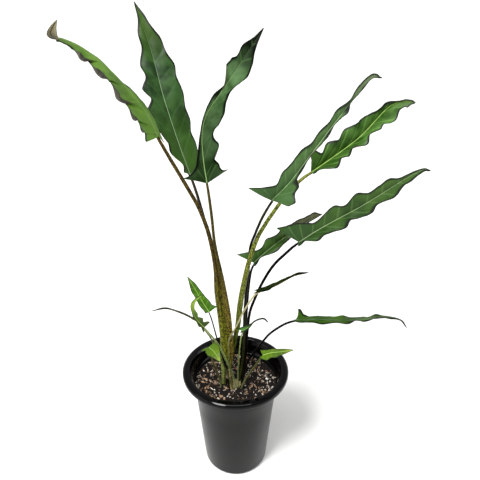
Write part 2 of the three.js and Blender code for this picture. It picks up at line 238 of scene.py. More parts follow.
world = bpy.data.worlds.new("surround")
world.use_nodes = True
world_tree = world.node_tree
booth = world_tree.nodes["Background"]
booth.inputs["Color"].default_value = (1, 1, 1, 1)
way = node(world_tree, "ShaderNodeTexCoord", {}, {}).outputs["Generated"]
rise = node(world_tree, "ShaderNodeSeparateXYZ", {}, {"Vector": way}).outputs["Z"]
glow = node(world_tree, "ShaderNodeMapRange", {}, {
    "Value": rise, "From Max": SURROUND_TURN, "To Min": SURROUND_LEVEL, "To Max": SURROUND_ABOVE})
world_tree.links.new(glow.outputs["Result"], booth.inputs["Strength"])
bpy.context.scene.world = world
bpy.context.scene.view_settings.view_transform = "Standard"
print("surround from", SURROUND_LEVEL, "at the horizon to", SURROUND_ABOVE, "above")

# %% [markdown]
# The pot is injection moulded polypropylene. Its outside comes from a grained mould, which leaves a dull
# grey skin, a little paler where it turns away from the eye. Its lip and inside come from a polished
# mould, which leaves them black and glossy, with some dust. The real grain is under half a millimetre
# and wouldn't show, so it is drawn at 1.4 mm.

# %% Pot materials


def grained_polypropylene():
    material, tree, shader, place = start_material(
        "grained_polypropylene", 0.42, Specular_IOR_Level=0.08, Sheen_Weight=0.09, Sheen_Roughness=0.3)
    grain = node(tree, "ShaderNodeTexNoise", {}, {"Vector": place, "Scale": per_mm(1.4), "Detail": 3.0})
    cloud = node(tree, "ShaderNodeTexNoise", {}, {"Vector": place, "Scale": per_mm(30), "Detail": 4.0})
    rough = node(tree, "ShaderNodeMapRange", {}, {
        "Value": cloud.outputs["Fac"], "To Min": 0.26, "To Max": 0.36})
    tree.links.new(rough.outputs["Result"], shader.inputs["Roughness"])
    colour = lay_colours(tree, "#151515", [(cloud.outputs["Fac"], 0, 1, 0, 1, "#1e1e1d")])
    return end_material(material, shader, colour, grain.outputs["Fac"], 0.5, 0.15)


def polished_polypropylene():
    material, tree, shader, place = start_material("polished_polypropylene", 0.14, Specular_IOR_Level=0.14)
    dust = node(tree, "ShaderNodeTexNoise", {}, {"Vector": place, "Scale": per_mm(9), "Detail": 6.0})
    rough = node(tree, "ShaderNodeMapRange", {}, {
        "Value": dust.outputs["Fac"], "To Min": 0.03, "To Max": 0.14})
    tree.links.new(rough.outputs["Result"], shader.inputs["Roughness"])
    colour = lay_colours(tree, "#020202", [(dust.outputs["Fac"], 0.62, 0.75, 0, 1, "#070708")])
    return end_material(material, shader, colour)


pot_skins = [grained_polypropylene(), polished_polypropylene()]
print("pot finishes:", [m.name for m in pot_skins])

# %% [markdown]
# A pot is a body of revolution, so its wall is drawn once, as a chain of points from the middle of the
# base up the outside, round the lip and down the inside. Inside, a small bead and a ledge, on which a
# stacked pot would rest, run round above the soil.

# %% Profile of the pot
LIP_RADIUS, LIP_INSIDE, MOUTH_RADIUS = 82.5, 80.1, 70.5
POT_TOP, LIP_UNDER = 184.0, 176.0
LEDGE_TOP, LEDGE_LOW = 154.0, 150.0
BEAD_AT = 158.2
# Each row is a radius, a height and how far the corner is rounded.
POT_WALL = [
    (0, 0, 0), (48, 0, 1), (51, 4, 1.5), (62.6, 134, 12), (68.2, 162, 8), (70, LIP_UNDER + 1, 1),
    (72.5, POT_TOP - 4, 1), (LIP_INSIDE, POT_TOP - 4, 1), (LIP_INSIDE, LIP_UNDER, 0.5),
    (LIP_RADIUS, LIP_UNDER, 0.9), (LIP_RADIUS, POT_TOP - 2.8, 1.4), (78.8, POT_TOP, 1.2),
    (72.5, POT_TOP, 1.2), (MOUTH_RADIUS, POT_TOP - 3, 1.4), (68, LIP_UNDER, 1),
    (66.3, BEAD_AT + 1, 0), (65.2, BEAD_AT + 0.5, 0.4), (65.2, BEAD_AT - 0.4, 0.4),
    (66.1, BEAD_AT - 1, 0), (66, LEDGE_TOP + 1, 1), (62, LEDGE_LOW + 1, 1), (49, 5, 1.2), (47, 3, 0.6),
    (0, 3, 0),
]
print("corners in the pot's wall:", len(POT_WALL))

# %% [markdown]
# Moulded plastic has no sharp corner, so each corner is rounded with a vertex bevel, more where the wall
# flares than elsewhere. That is done before the chain is spun round the axis, while it is one point each.
# A face is dull if it looks outwards or down below the lip, and polished if not.

# %% Pot
POT_STEPS = 144


def wire(bm, points):
    corners = [bm.verts.new(point) for point in points]
    for one, other in zip(corners, corners[1:]):
        bm.edges.new((one, other))
    return corners


def spin_round(bm, steps):
    bmesh.ops.spin(
        bm, geom=bm.verts[:] + bm.edges[:], axis=(0, 0, 1), cent=(0, 0, 0), angle=math.tau,
        steps=steps, use_merge=True)
    bmesh.ops.remove_doubles(bm, verts=bm.verts, dist=0.001)
    bmesh.ops.recalc_face_normals(bm, faces=bm.faces)


bm = bmesh.new()
corners = wire(bm, [(radius, 0, z) for radius, z, turn in POT_WALL])
for corner, (radius, z, turn) in zip(corners, POT_WALL):
    if turn:
        bmesh.ops.bevel(
            bm, geom=[corner], affect="VERTICES", offset=turn, segments=3, profile=0.5, material=-1)
spin_round(bm, POT_STEPS)
for face in bm.faces:
    middle = face.calc_center_median()
    looks_out = face.normal.x * middle.x + face.normal.y * middle.y > 1 or middle.z < 1
    below_lip = math.hypot(middle.x, middle.y) < MOUTH_RADIUS and middle.z < LIP_UNDER + 1
    face.material_index = 0 if looks_out and below_lip else 1
pot = finish_piece(bm, "nursery_pot", pot_skins, "pot_plastic", "pot")
print("pot faces:", len(pot.data.polygons))

# %% [markdown]
# Six drain holes go through the floor of the pot. They aren't bodies of revolution about the pot's axis,
# so a boolean cuts them with six pegs in one mesh, and the result replaces the pot's mesh.

# %% Drain holes
DRAIN_COUNT, DRAIN_RADIUS, DRAIN_RING = 6, 4.5, 36.0
PEG_LENGTH = 12.0

bm = bmesh.new()
for i in range(DRAIN_COUNT):
    angle = math.tau * i / DRAIN_COUNT
    at = Matrix.Translation((DRAIN_RING * math.cos(angle), DRAIN_RING * math.sin(angle), 0))
    bmesh.ops.create_cone(
        bm, cap_ends=True, segments=24, radius1=DRAIN_RADIUS, radius2=DRAIN_RADIUS, depth=PEG_LENGTH,
        matrix=at)
pegs = new_object(bm, "pegs")
cut = pot.modifiers.new("drain_holes", "BOOLEAN")
cut.operation = "DIFFERENCE"
cut.solver = "EXACT"
cut.object = pegs
cut_mesh = bpy.data.meshes.new_from_object(pot.evaluated_get(bpy.context.evaluated_depsgraph_get()))
pot.modifiers.clear()
pot.data = cut_mesh
bpy.data.objects.remove(pegs)
print("pot faces with drain holes:", len(cut_mesh.polygons))

# %% [markdown]
# The potting mix is damp peat. Its top sinks a little towards the plant and is lumpy, so its height is a
# formula: a dish, and noise in lumps of two sizes. The pieces that lie on it ask the same formula.

# %% Soil height
# Each row of the dish is a radius and a height.
SOIL_DISH = [(0, 147.8), (12, 148.2), (20, 150.5), (42, 152.5), (62.7, 154.5)]
SOIL_RIM = 65.3
LEVEL_EDGE = 4
# Each row is the size of a lump, how high it rises, and the slice of the noise that it is read from.
LUMPS = [(11, 1.6, 3.0), (3.2, 0.9, 8.0)]


def soil_height(x, y):
    radius = math.hypot(x, y)
    dish = float(np.interp(radius, *zip(*SOIL_DISH)))
    lumps = sum(noise.noise(Vector((x / size, y / size, part))) * rise for size, rise, part in LUMPS)
    fade = min(1.0, max(0.0, (SOIL_RIM - radius) / LEVEL_EDGE))
    return dish + lumps * fade


print("soil at the crown and the edge:", round(soil_height(0, 0), 1), round(soil_height(60, 0), 1))

# %% [markdown]
# Peat is nearly black when damp, with brown fibres, and it never shines. Bark and perlite need several
# tones each: every chip carries a random number of its own in the attribute "tone", and the material
# turns it into a colour between a dark and a pale one. Split bark and wood have a fine grain, and
# perlite, which is popped volcanic glass, is pitted and chalky.

# %% Soil materials


def damp_peat():
    material, tree, shader, place = start_material("damp_peat", 0.95, Specular_IOR_Level=0.25)
    fibre = node(tree, "ShaderNodeTexNoise", {}, {
        "Vector": place, "Scale": per_mm(2.2), "Detail": 6.0}).outputs["Fac"]
    colour = lay_colours(tree, "#0b0908", [(fibre, 0.48, 0.72, 0, 1, "#352821")])
    return end_material(material, shader, colour, fibre, 1.0, 1.0)


def chipped(name, roughness, dark, pale, grain_mm):
    material, tree, shader, place = start_material(name, roughness, Specular_IOR_Level=0.3)
    tone = node(tree, "ShaderNodeAttribute", {"attribute_name": "tone"}, {}).outputs["Fac"]
    grain = node(tree, "ShaderNodeTexNoise", {}, {
        "Vector": place, "Scale": per_mm(grain_mm), "Detail": 4.0}).outputs["Fac"]
    shade = node(tree, "ShaderNodeMath", {"operation": "MULTIPLY_ADD"}, {0: grain, 1: 0.5, 2: tone})
    colour = lay_colours(tree, dark, [(shade.outputs["Value"], 0.2, 1.25, 0, 1, pale)])
    return end_material(material, shader, colour, grain, 0.6, 0.3)


peat = damp_peat()
bark = chipped("composted_bark", 0.8, "#261910", "#a8876a", 1.2)
wood_fibre = chipped("pale_wood_fibre", 0.75, "#6b5746", "#e9dcc8", 0.9)
perlite = chipped("expanded_perlite", 0.9, "#a89f94", "#f6f2ea", 0.8)
print("soil finishes:", [m.name for m in (peat, bark, wood_fibre, perlite)])

# %% [markdown]
# The peat body is spun like the pot, from the axis out along the top, down the wall and back. Only the
# top is fine enough to hold the lumps.

# %% Soil body
SOIL_TOP = 154.4
SOIL_WALL = [(SOIL_RIM, SOIL_TOP), (61.7, 151.3), (48.7, 5.3), (46.7, 3.3), (0, 3.3)]
TOP_RINGS = 56
SOIL_STEPS = 180

bm = bmesh.new()
top = [(SOIL_RIM * i / TOP_RINGS, 0, SOIL_TOP) for i in range(TOP_RINGS)]
wire(bm, top + [(radius, 0, z) for radius, z in SOIL_WALL])
spin_round(bm, SOIL_STEPS)
for vert in bm.verts:
    if vert.co.z > SOIL_TOP - 0.1 and math.hypot(vert.co.x, vert.co.y) < SOIL_RIM - 0.1:
        vert.co.z = soil_height(vert.co.x, vert.co.y)
soil = finish_piece(bm, "peat_body", [peat], "potting_mix", "soil")
print("soil faces:", len(soil.data.polygons))

# %% [markdown]
# What lies on the peat is hundreds of small pieces: bark chips, pale wood fibre, perlite and peat
# crumbs. Each starts as an icosphere of a few faces, is stretched to its kind's shape, bowed and dented
# at random and laid on the peat, a little sunk in and tilted. Few faces suit a broken chip well.

# %% One loose piece
TILT = 0.6
BOW = (-0.5, 0.9)
SUNK = 0.25


def add_chip(bm, tone, rng, spot, size, shape, dent):
    turn = Matrix.Rotation(rng.uniform(0, math.tau), 4, "Z")
    lean = Matrix.Rotation(rng.uniform(-TILT, TILT), 4, "X")
    lean = lean @ Matrix.Rotation(rng.uniform(-TILT, TILT), 4, "Y")
    stretch = Matrix.Diagonal((*[size / 2 * s for s in shape], 1))
    place = Matrix.Translation((*spot, soil_height(*spot) + SUNK * size * shape[2])) @ turn @ lean
    made = bmesh.ops.create_icosphere(bm, subdivisions=1, radius=1, matrix=stretch)
    number = rng.random()
    bow = rng.uniform(*BOW)
    for vert in made["verts"]:
        vert.co.y += bow * (vert.co.x ** 2) / size
        vert.co += Vector([rng.uniform(-dent, dent) * size for axis in range(3)])
        vert.co = place @ vert.co
        vert[tone] = number


bm = bmesh.new()
add_chip(bm, bm.verts.layers.float.new("tone"), random.Random(1), (0, 30), 4, (1, 0.5, 0.3), 0.1)
print("corners of one piece:", len(bm.verts))
bm.free()

# %% [markdown]
# Loose pieces lie in drifts, so noise over the peat thins them out in places, and pale pieces are rare on
# a bare patch in front of the stems. All pieces of a kind share one mesh, which is far lighter than
# hundreds of objects.

# %% Scattered pieces
BARE_AT, BARE_RADIUS = (0, -44), 20
SPREAD = 63
DRIFT_SIZE = 13


def soil_spot(rng, inside):
    radius = math.sqrt(rng.uniform(inside * inside, SPREAD * SPREAD))
    angle = rng.uniform(0, math.tau)
    return radius * math.cos(angle), radius * math.sin(angle)


def scatter(name, material, count, seed, sizes, shape, dent, inside=12, drift=-1, bare=0, spots=()):
    """Sizes are the shortest, longest and usual length, and spots the pieces that have set places."""
    rng = random.Random(seed)
    bm = bmesh.new()
    tone = bm.verts.layers.float.new("tone")
    for x, y, size in spots:
        add_chip(bm, tone, rng, (x, y), size, shape, dent)
    while count > 0:
        spot = soil_spot(rng, inside)
        in_bare_patch = math.dist(spot, BARE_AT) < BARE_RADIUS and rng.random() < bare
        drifted = Vector((spot[0] / DRIFT_SIZE, spot[1] / DRIFT_SIZE, seed))
        if not in_bare_patch and noise.noise(drifted) >= drift:
            count -= 1
            add_chip(bm, tone, rng, spot, rng.triangular(*sizes), shape, dent)
    made = finish_piece(bm, name, [material], "potting_mix")
    made.data.shade_flat()
    print(name, len(made.data.polygons), "faces")


print("one spot on the soil:", [round(v) for v in soil_spot(random.Random(1), 12)])

# %% [markdown]
# A few pieces of each kind stand out to the eye, so they get places of their own. The rest are strewn at
# random, the same way in each run, because each kind has its own seed.

# %% Bark, fibre, perlite and crumbs
# Each spot is x, y and the length of one piece.
BARK_SPOTS = [
    (-42, -25, 8), (49.5, 24, 7), (32, -10, 7), (40, -21, 6), (-45, 22, 8), (-27, 8, 7), (-36, 14, 7),
    (-52, -2, 8), (-38, -30, 7), (44, -30, 7), (-50, 14, 7), (-30, 26, 8), (-38, 22, 7), (-48, 6, 7),
    (-33, -4, 7), (-44, -12, 8),
]
FIBRE_SPOTS = [
    (-61, -12, 11), (-58, -16, 7), (-36, -38, 5), (39, -38, 9), (50, -32, 8), (25, -44, 6), (62, 8, 8),
    (55, -26, 7), (-50, -29, 6), (-44, -35, 6), (-59, 2, 6), (-62, -4, 6), (-54, -22, 6), (-46, 28, 6),
    (-56, 10, 7), (-40, 2, 5), (-48, -18, 6),
]
PERLITE_SPOTS = [
    (50, 5, 5.2), (44, 1, 3.6), (55, -1, 4.4), (60, 6, 4.2), (36, 10, 3.4), (48, 12, 3.6), (57, 13, 3.2),
    (-10, -26, 3.4), (-12, -30, 3), (41, -36, 3.8), (33, -42, 3.2), (52, -12, 3.6), (-52, 24, 3.6),
]
scatter("peat_crumbs", peat, 1300, 11, (1.0, 3.6, 1.8), (1, 0.8, 0.7), 0.14, inside=6)
scatter("bark_chips", bark, 200, 12, (2.4, 8, 4), (1, 0.55, 0.3), 0.11, drift=-0.1, spots=BARK_SPOTS)
scatter(
    "wood_fibres", wood_fibre, 330, 13, (1.6, 7, 3), (1, 0.32, 0.26), 0.1, drift=-0.06, bare=0.7,
    spots=FIBRE_SPOTS)
scatter(
    "perlite_grains", perlite, 95, 14, (1, 3.2, 1.6), (1, 0.8, 0.7), 0.13, drift=-0.05, bare=0.7,
    spots=PERLITE_SPOTS)

# %% [markdown]
# The corm is the short thick stem that all petioles leave. Only its shoulder shows between them. Its skin
# is dry, tan and papery, with fibres about 3 mm apart and the rings of old leaf scars.

# %% Corm
CORM_AT, CORM_RADII = (0, 1.5, 139), (14, 15, 13.4)
SCAR_STEP, SCAR_DEPTH = 2.6, 0.035
KNOBS, KNOB_RISE = 2.3, 0.04


def corm_skin():
    material, tree, shader, place = start_material("dry_corm_skin", 0.75)
    fibre = node(tree, "ShaderNodeTexNoise", {}, {
        "Vector": place, "Scale": per_mm(3), "Detail": 5.0}).outputs["Fac"]
    colour = lay_colours(tree, "#8a7844", [(fibre, 0, 1, 0, 1, "#d2bf8c")])
    return end_material(material, shader, colour, fibre, 0.7, 0.4)


bm = bmesh.new()
bmesh.ops.create_uvsphere(bm, u_segments=64, v_segments=48, radius=1)
for vert in bm.verts:
    scar = 1 - SCAR_DEPTH * abs(math.sin(math.pi * vert.co.z * CORM_RADII[2] / SCAR_STEP))
    knob = 1 + KNOB_RISE * noise.noise(vert.co * KNOBS)
    vert.co = Vector([c * r * scar * knob for c, r in zip(vert.co, CORM_RADII)]) + Vector(CORM_AT)
corm = finish_piece(bm, "corm_body", [corm_skin()], "corm_skin", "corm")
print("corm faces:", len(corm.data.polygons))

# %% [markdown]
# Fifteen leaves rise from the corm. Each is measured the same way: points along the midrib, the way its
# upper face looks, six widths on each half, a basal lobe on each half, how far each half folds up, and
# the stalk's route with its radius. These are the CAD model's own figures, so each leaf stays in place.
# Two more figures are for the looks: "rib" is the midrib's half width as a share of the stalk's radius,
# and "curl" is a power that keeps the lift of the margin's waves close to the margin.

# %% Leaf measures
# A row of "stalk" is x, y, z and radius. A lobe is how far out and how far back it ends. Folds are in
# degrees. The left half comes first, as seen by someone who looks at the upper face with the tip up.
WIDTH_SHARES = [0.07, 0.22, 0.4, 0.58, 0.75, 0.9]
LEAVES = {
    "01": {
        "midrib": [[-91, -14, 552], [-101, -19, 579], [-117, -25, 604], [-135, -30, 628],
            [-158, -35, 649], [-177.5, -41, 660.5], [-186, -44, 662], [-187.5, -48, 665.5],
            [-183, -52, 671.5], [-176.5, -55, 678.5]],
        "faces": [[0.7, -0.5, 0.5], [0.68, -0.42, 0.58], [0.65, -0.35, 0.65], [0.63, -0.28, 0.73],
            [0.6, -0.2, 0.8], [0.5, -0.28, 0.82], [0.35, -0.35, 0.85], [0.3, 0.1, 0.9],
            [0.4, 0.9, -0.1]],
        "stalk": [[-7.5, -2.5, 144, 4.2], [-8, -2.5, 167, 2.7], [-9, -2.5, 190, 2.5],
            [-13.7, -1, 215, 4.4], [-17, -1, 240, 5.6], [-20, 0, 280, 6], [-24, 1, 320, 5.8],
            [-26, 1, 355, 4.2], [-30, 1, 385, 3.2], [-37, 2, 420, 2.8], [-48, 2, 453, 2.6],
            [-58, -2, 476, 2.5], [-69, -6, 500, 2.4], [-83, -11, 530, 2.2]],
        "halves": [[18, 22, 23, 20, 11, 7], [14, 17, 15, 10, 5, 4]], "lobes": [[19, -3], [8, 14]],
        "folds": [-8, -25], "rib": 0.2, "curl": 5,
    },
    "02": {
        "midrib": [[-59, 20, 493], [-75, 40, 532], [-93, 60, 585], [-109, 88, 637], [-131, 115, 695]],
        "faces": [[0.6, -0.7, 0.4], [0.3, -0.85, 0.4], [-0.2, -0.9, 0.4]],
        "stalk": [[-19, 0, 143, 3.4], [-19, 1, 170, 3.4], [-20, 4, 200, 3.2], [-21, 8, 235, 2.8],
            [-22, 10.5, 280, 2.6], [-26, 11.5, 320, 2.4], [-29, 12, 360, 2.4], [-35, 12, 400, 2.2],
            [-47, 13, 454, 2], [-55, 17, 481, 1.8]],
        "halves": [[10, 20, 26, 21, 12, 4.5], [21, 24, 26.5, 25, 17.5, 7.5]], "lobes": [[10, -2], [14, 10]],
        "folds": [16, 0],
    },
    "03": {
        "midrib": [[-35, -8, 491], [-39, 1, 517], [-40, 9, 546], [-33, 18, 572], [-5, 33, 610],
            [14, 47, 636], [36, 62, 666]],
        "faces": [[0.1, -0.9, 0.3], [0.6, -0.7, 0], [0, -0.8, 0.4], [-0.3, -0.8, 0.5]],
        "stalk": [[-5.5, 4.4, 144, 1.8], [-7, 3, 167, 1.8], [-7.3, 2.4, 190, 2], [-6, -2.5, 214, 3.2],
            [-7.5, -3, 240, 4], [-10, -3, 280, 4.2], [-15, -3, 320, 3.8], [-20, -3, 355, 3],
            [-25, -4, 385, 2.4], [-28, -5, 410, 2], [-30, -6, 440, 2], [-33, -8, 474, 1.8]],
        "halves": [[13.5, 6.5, 6, 6, 10, 6], [21, 22, 20, 13, 13, 5]], "lobes": [[26, -9], [30, -11]],
        "folds": [15, 0],
    },
    "04": {
        "midrib": [[49, -8, 467], [71, -10, 493], [95, -11, 529], [126, -11, 575], [155, -10, 614],
            [170, -8, 617]],
        "faces": [[0, -0.9, 0.4], [-0.6, -0.6, 0.5], [0.1, -0.9, 0.4]],
        "stalk": [[4.5, 5.8, 144, 2], [9, 9, 170, 1.9], [12, 11, 200, 2], [13, 12, 235, 2.1],
            [13.8, 13, 270, 2.1], [15.5, 14, 305, 2], [19, 14.5, 345, 1.9], [21, 13, 385, 1.8],
            [28, 5, 413, 1.8], [36, -2, 438, 1.8], [44, -6, 456, 1.7]],
        "halves": [[15.5, 14.5, 11, 7.5, 5, 4], [22, 7, 3.4, 4, 2.4, 1.8]], "lobes": [[40, 3], [9, -6]],
        "folds": [40, 15],
    },
    "05": {
        "midrib": [[104, 38, 489], [137, 54, 507], [173, 70, 530], [210, 86, 565], [236, 102, 570],
            [258, 118, 566]],
        "faces": [[-0.3, -0.75, 0.6], [-0.3, -0.8, 0.55], [-0.2, -0.8, 0.3]],
        "stalk": [[-5, 8.6, 144, 2], [-6.5, 7.4, 167, 1.8], [-6.5, 7, 190, 2], [-3, 6, 214, 2.6],
            [0, 5, 238, 3.4], [4, 5, 262, 4], [7, 5, 295, 4.2], [12, 5, 330, 3.8], [19, 7, 365, 3.4],
            [30, 10, 401, 3], [42, 14, 423, 2.8], [56, 20, 443, 2.6], [72, 27, 463, 2.4],
            [88, 33, 478, 2.2], [98, 36, 485, 2]],
        "halves": [[20, 19, 20, 14, 5, 3], [15, 21, 21, 22, 20, 9]], "lobes": [[23, -14], [8, 2]],
        "folds": [42, 42], "rib": 0.45,
    },
    "06": {
        "midrib": [[85, -24, 415], [111, -36, 441], [156, -49, 477], [194, -61, 512], [209, -73, 528],
            [213, -85, 531]],
        "faces": [[-0.5, -0.5, 0.6], [-0.3, -0.9, 0.2], [-0.3, -0.9, 0.1]],
        "stalk": [[9.6, 10.4, 144, 2.2], [15, 14.5, 190, 2.2], [17.8, 15, 235, 2.2],
            [21.3, 13, 275, 2.1], [29, 9, 305, 2], [39, 4, 335, 2], [53, -5, 368, 2],
            [70, -16, 395, 1.9], [80, -21, 408, 1.7]],
        "halves": [[20.5, 14, 14, 12, 9, 3.5], [8, 13, 12, 10.5, 9, 4]], "lobes": [[33, 24], [5, 3]],
        "folds": [20, 20], "rib": 0.2, "curl": 5,
    },
    "07": {
        "midrib": [[28, 24, 358], [57, 35, 380], [98, 45, 408], [126, 55, 420]],
        "faces": [[-0.4, -0.6, 0.7], [-0.1, -0.9, 0.3], [-0.2, -0.85, 0.5]],
        "stalk": [[3.6, 10.6, 144, 2], [9, 17, 180, 2.2], [13, 21, 220, 2.2], [16.5, 22, 265, 2],
            [19.3, 22, 310, 1.8], [23.3, 21, 345, 1.7]],
        "halves": [[14.5, 12, 14, 13, 10, 6], [6, 10, 10, 5.5, 3, 2]], "lobes": [[25, 13], [9, 4]],
        "folds": [36, 36],
    },
    "08": {
        "midrib": [[33, -12, 331.5], [56, -19, 345.5], [78, -27, 364.5], [97, -36, 375.5]],
        "faces": [[-0.25, 0.22, 0.92], [-0.3, 0.22, 0.92], [-0.3, 0.22, 0.92]],
        "stalk": [[-6.8, -9.2, 144, 1.2], [-8, -7.2, 167, 1.2], [-9, -6.9, 190, 1.2],
            [-9.8, -8.4, 215, 1.2], [-9.5, -8.8, 243, 1.2], [-3, -8.8, 258, 1.2], [3, -9.5, 272, 1.3],
            [12, -11, 295, 1.3], [26, -12, 322, 1.3]],
        "halves": [[9, 10.5, 10.5, 9, 6.5, 3.5], [9, 10.5, 10.5, 9, 6.5, 3.5]], "lobes": [[8, 11], [7, 6]],
        "folds": [5, 5],
    },
    "09": {
        "midrib": [[85, -45, 307], [110, -61, 319], [148, -77, 329], [188, -91, 343], [202, -103, 348],
            [207, -115, 345]],
        "faces": [[-0.3, 0.43, 0.87], [0, 0.42, 0.88], [0.2, 0.4, 0.88]],
        "stalk": [[9.6, 3, 144, 1.8], [14, 1, 177, 1.8], [25, -6, 211, 1.7], [34, -14, 233, 1.6],
            [42, -24, 255, 1.6], [51, -32, 274, 1.6], [66, -40, 293, 1.6], [78, -44, 302, 1.5]],
        "halves": [[9, 10, 11, 10, 7, 2.5], [10, 11, 12, 10, 7, 2.5]], "lobes": [[12, 3], [7, 5]],
        "folds": [5, -5],
    },
    "10": {
        "midrib": [[41, -40, 241], [52, -45, 249], [66, -50, 255], [81, -54, 261]],
        "faces": [[-0.3, -0.7, 0.6], [-0.15, -0.6, 0.8], [-0.1, -0.5, 0.85]],
        "stalk": [[8, -8.6, 144, 1.7], [13, -14, 165, 1.6], [21, -22, 189, 1.5], [29, -30, 211, 1.4],
            [36, -37, 230, 1.3]],
        "halves": [[6.5, 5, 5.5, 5, 3.5, 2], [8.5, 8, 7, 5.5, 3.5, 1.5]], "lobes": [[8, 3], [3, 9]],
        "folds": [10, 10],
    },
    "11": {
        "midrib": [[-38, -12, 297], [-46, -5, 306], [-56, 3, 321], [-69, 14, 339]],
        "faces": [[0.1, -0.95, 0.3], [0.1, -0.95, 0.3], [0.2, -0.9, 0.4]],
        "stalk": [[-10.5, -7.8, 144, 1.3], [-11, -13, 180, 1.2], [-19, -15, 215, 1.2],
            [-27, -14, 250, 1.1], [-34, -13, 283, 1]],
        "halves": [[5.5, 6.5, 6.5, 6, 4.5, 2], [10, 9.5, 8, 6.5, 5, 2]], "lobes": [[6, 0], [15, 2]],
        "folds": [8, 8],
    },
    "12": {
        "midrib": [[-44, -38, 289], [-54, -41, 306], [-58, -42, 322], [-55, -43, 335], [-42, -45, 346]],
        "faces": [[0.6, -0.7, 0.3], [0.8, -0.6, 0], [0, -1, -0.1]],
        "stalk": [[1.6, -10.2, 144, 1.7], [-4, -16, 181, 1.6], [-11, -22, 208, 1.5], [-24, -30, 250, 1.4],
            [-36, -35, 274, 1.3]],
        "halves": [[6, 5.5, 7.5, 8, 6, 3], [7, 6, 5, 5, 4.5, 2]], "lobes": [[8, 3], [9, 3]],
        "folds": [40, 10],
    },
    "13": {
        "midrib": [[-58, -30, 298], [-76, -38, 314], [-92, -47, 326], [-109, -58, 330]],
        "faces": [[0.3, 0.5, 0.8], [0.2, 0.5, 0.85], [-0.1, 0.5, 0.85]],
        "stalk": [[-3.4, -9.8, 144, 1.3], [-10, -15, 176, 1.2], [-22, -21, 220, 1.1],
            [-36, -26, 261, 1.1], [-52, -29, 289, 1]],
        "halves": [[6, 7.5, 8, 7, 5, 2.5], [6, 7.5, 8, 7, 5, 2.5]], "lobes": [[5, 5], [5, 5]],
        "folds": [5, 5],
    },
    "14": {
        "midrib": [[-36, -45, 258], [-31, -53, 259.5], [-26, -61, 258.5], [-20, -69, 253]],
        "faces": [[0, -0.2, 1], [-0.1, -0.5, 0.85], [-0.2, -0.6, 0.75]],
        "stalk": [[-22, -6.8, 144, 1.5], [-25, -12, 172, 1.4], [-30, -24, 203, 1.3], [-35, -38, 237, 1.2],
            [-36, -43, 250, 1]],
        "halves": [[11, 11, 10, 8, 5, 3], [11, 11, 9.5, 7.5, 5, 2.5]], "lobes": [[12, 4], [10, 1]],
        "folds": [6, 6],
    },
    "15": {
        "midrib": [[10.5, -30, 277], [15.5, -31, 280.6], [20, -32, 285], [27.3, -33, 294.5],
            [35.4, -34, 299.3], [41, -35, 300], [46, -36, 295]],
        "faces": [[-0.5, -0.6, 0.6], [-0.4, -0.85, 0.4], [-0.1, -0.9, 0.3]],
        "stalk": [[4.6, -7.2, 144, 1.3], [4, -14, 180, 1.2], [5, -20, 210, 1.1], [7, -25, 245, 1],
            [9.5, -28, 268, 1]],
        "halves": [[4.5, 3.6, 1.4, 1.2, 1.3, 1.2], [4, 3, 1.4, 1.2, 1.3, 1.2]], "lobes": [[5, 7], [3, 4]],
        "folds": [30, 30],
    },
}
print("leaves:", len(LEAVES))

# %% [markdown]
# A stalk or a midrib is a smooth line through a few points. A Catmull-Rom spline passes through every
# point it is given, so it needs only the ones that matter. Points an equal distance apart along it
# make even mesh rows.

# %% Smooth lines
FINE_STEPS = 1200
PATH_POINTS = 401


def read_rows(rows, at):
    """Reads every column of a table at places between its rows, which go from 0 to 1."""
    grid = np.linspace(0, 1, len(rows))
    return np.column_stack([np.interp(at, grid, column) for column in np.asarray(rows, float).T])


def unit_rows(vectors):
    return vectors / np.linalg.norm(vectors, axis=1)[:, None]


def smooth_line(points, shares):
    points = np.asarray(points, float)
    ends = np.vstack([2 * points[0] - points[1], points, 2 * points[-1] - points[-2]])
    place = np.clip(shares, 0, 1) * (len(points) - 1)
    first = np.minimum(place.astype(int), len(points) - 2)
    f = (place - first)[:, None]
    a, b, c, d = (ends[first + k] for k in range(4))
    bend = 2 * a - 5 * b + 4 * c - d
    swing = 3 * b - a - 3 * c + d
    return 0.5 * (2 * b + (c - a) * f + bend * f ** 2 + swing * f ** 3)


def even_line(points, count, measured=3):
    fine = smooth_line(points, np.linspace(0, 1, FINE_STEPS))
    steps = np.linalg.norm(np.diff(fine[:, :measured], axis=0), axis=1)
    run = np.concatenate([[0], np.cumsum(steps)])
    wanted = np.linspace(0, run[-1], count)
    return np.column_stack([np.interp(wanted, run, column) for column in fine.T]), run[-1]


for leaf in LEAVES.values():
    leaf["path"], leaf["length"] = even_line(leaf["midrib"], PATH_POINTS)
    leaf["tangents"] = unit_rows(np.gradient(leaf["path"], axis=0))
print("blade lengths in mm:", {name: round(leaf["length"]) for name, leaf in LEAVES.items()})

# %% [markdown]
# A leaf has a frame of its own at each place along the midrib: the place, the way to the tip, the upper
# face and the way to the right half. Everything on a blade is measured in it, as on a flat leaf.

# %% Leaf frame


def leaf_frame(leaf, along):
    share = np.clip(along / leaf["length"], 0, 1)
    tangent = unit_rows(read_rows(leaf["tangents"], share))
    face = read_rows(leaf["faces"], share)
    face = unit_rows(face - np.sum(face * tangent, axis=1)[:, None] * tangent)
    spot = read_rows(leaf["path"], share) + tangent * np.minimum(along, 0)[:, None]
    return spot, tangent, face, np.cross(tangent, face)


middle = leaf_frame(LEAVES["02"], np.array([60.0]))
print("leaf 02, 60 mm along, looks", np.round(middle[2][0], 2))

# %% [markdown]
# A round stem is a grid rolled into a tube: one side of the grid runs round it and the other along it.
# Each ring stays square to the line and turns as little as it can from the last one, so the ribs don't
# twist. The seam is then merged and the ends are closed.

# %% Rolled tube
HALF_UP = Matrix.Translation((0.5, 0.5, 0))
RING_STEP = 2.2
FEWEST_RINGS = 8


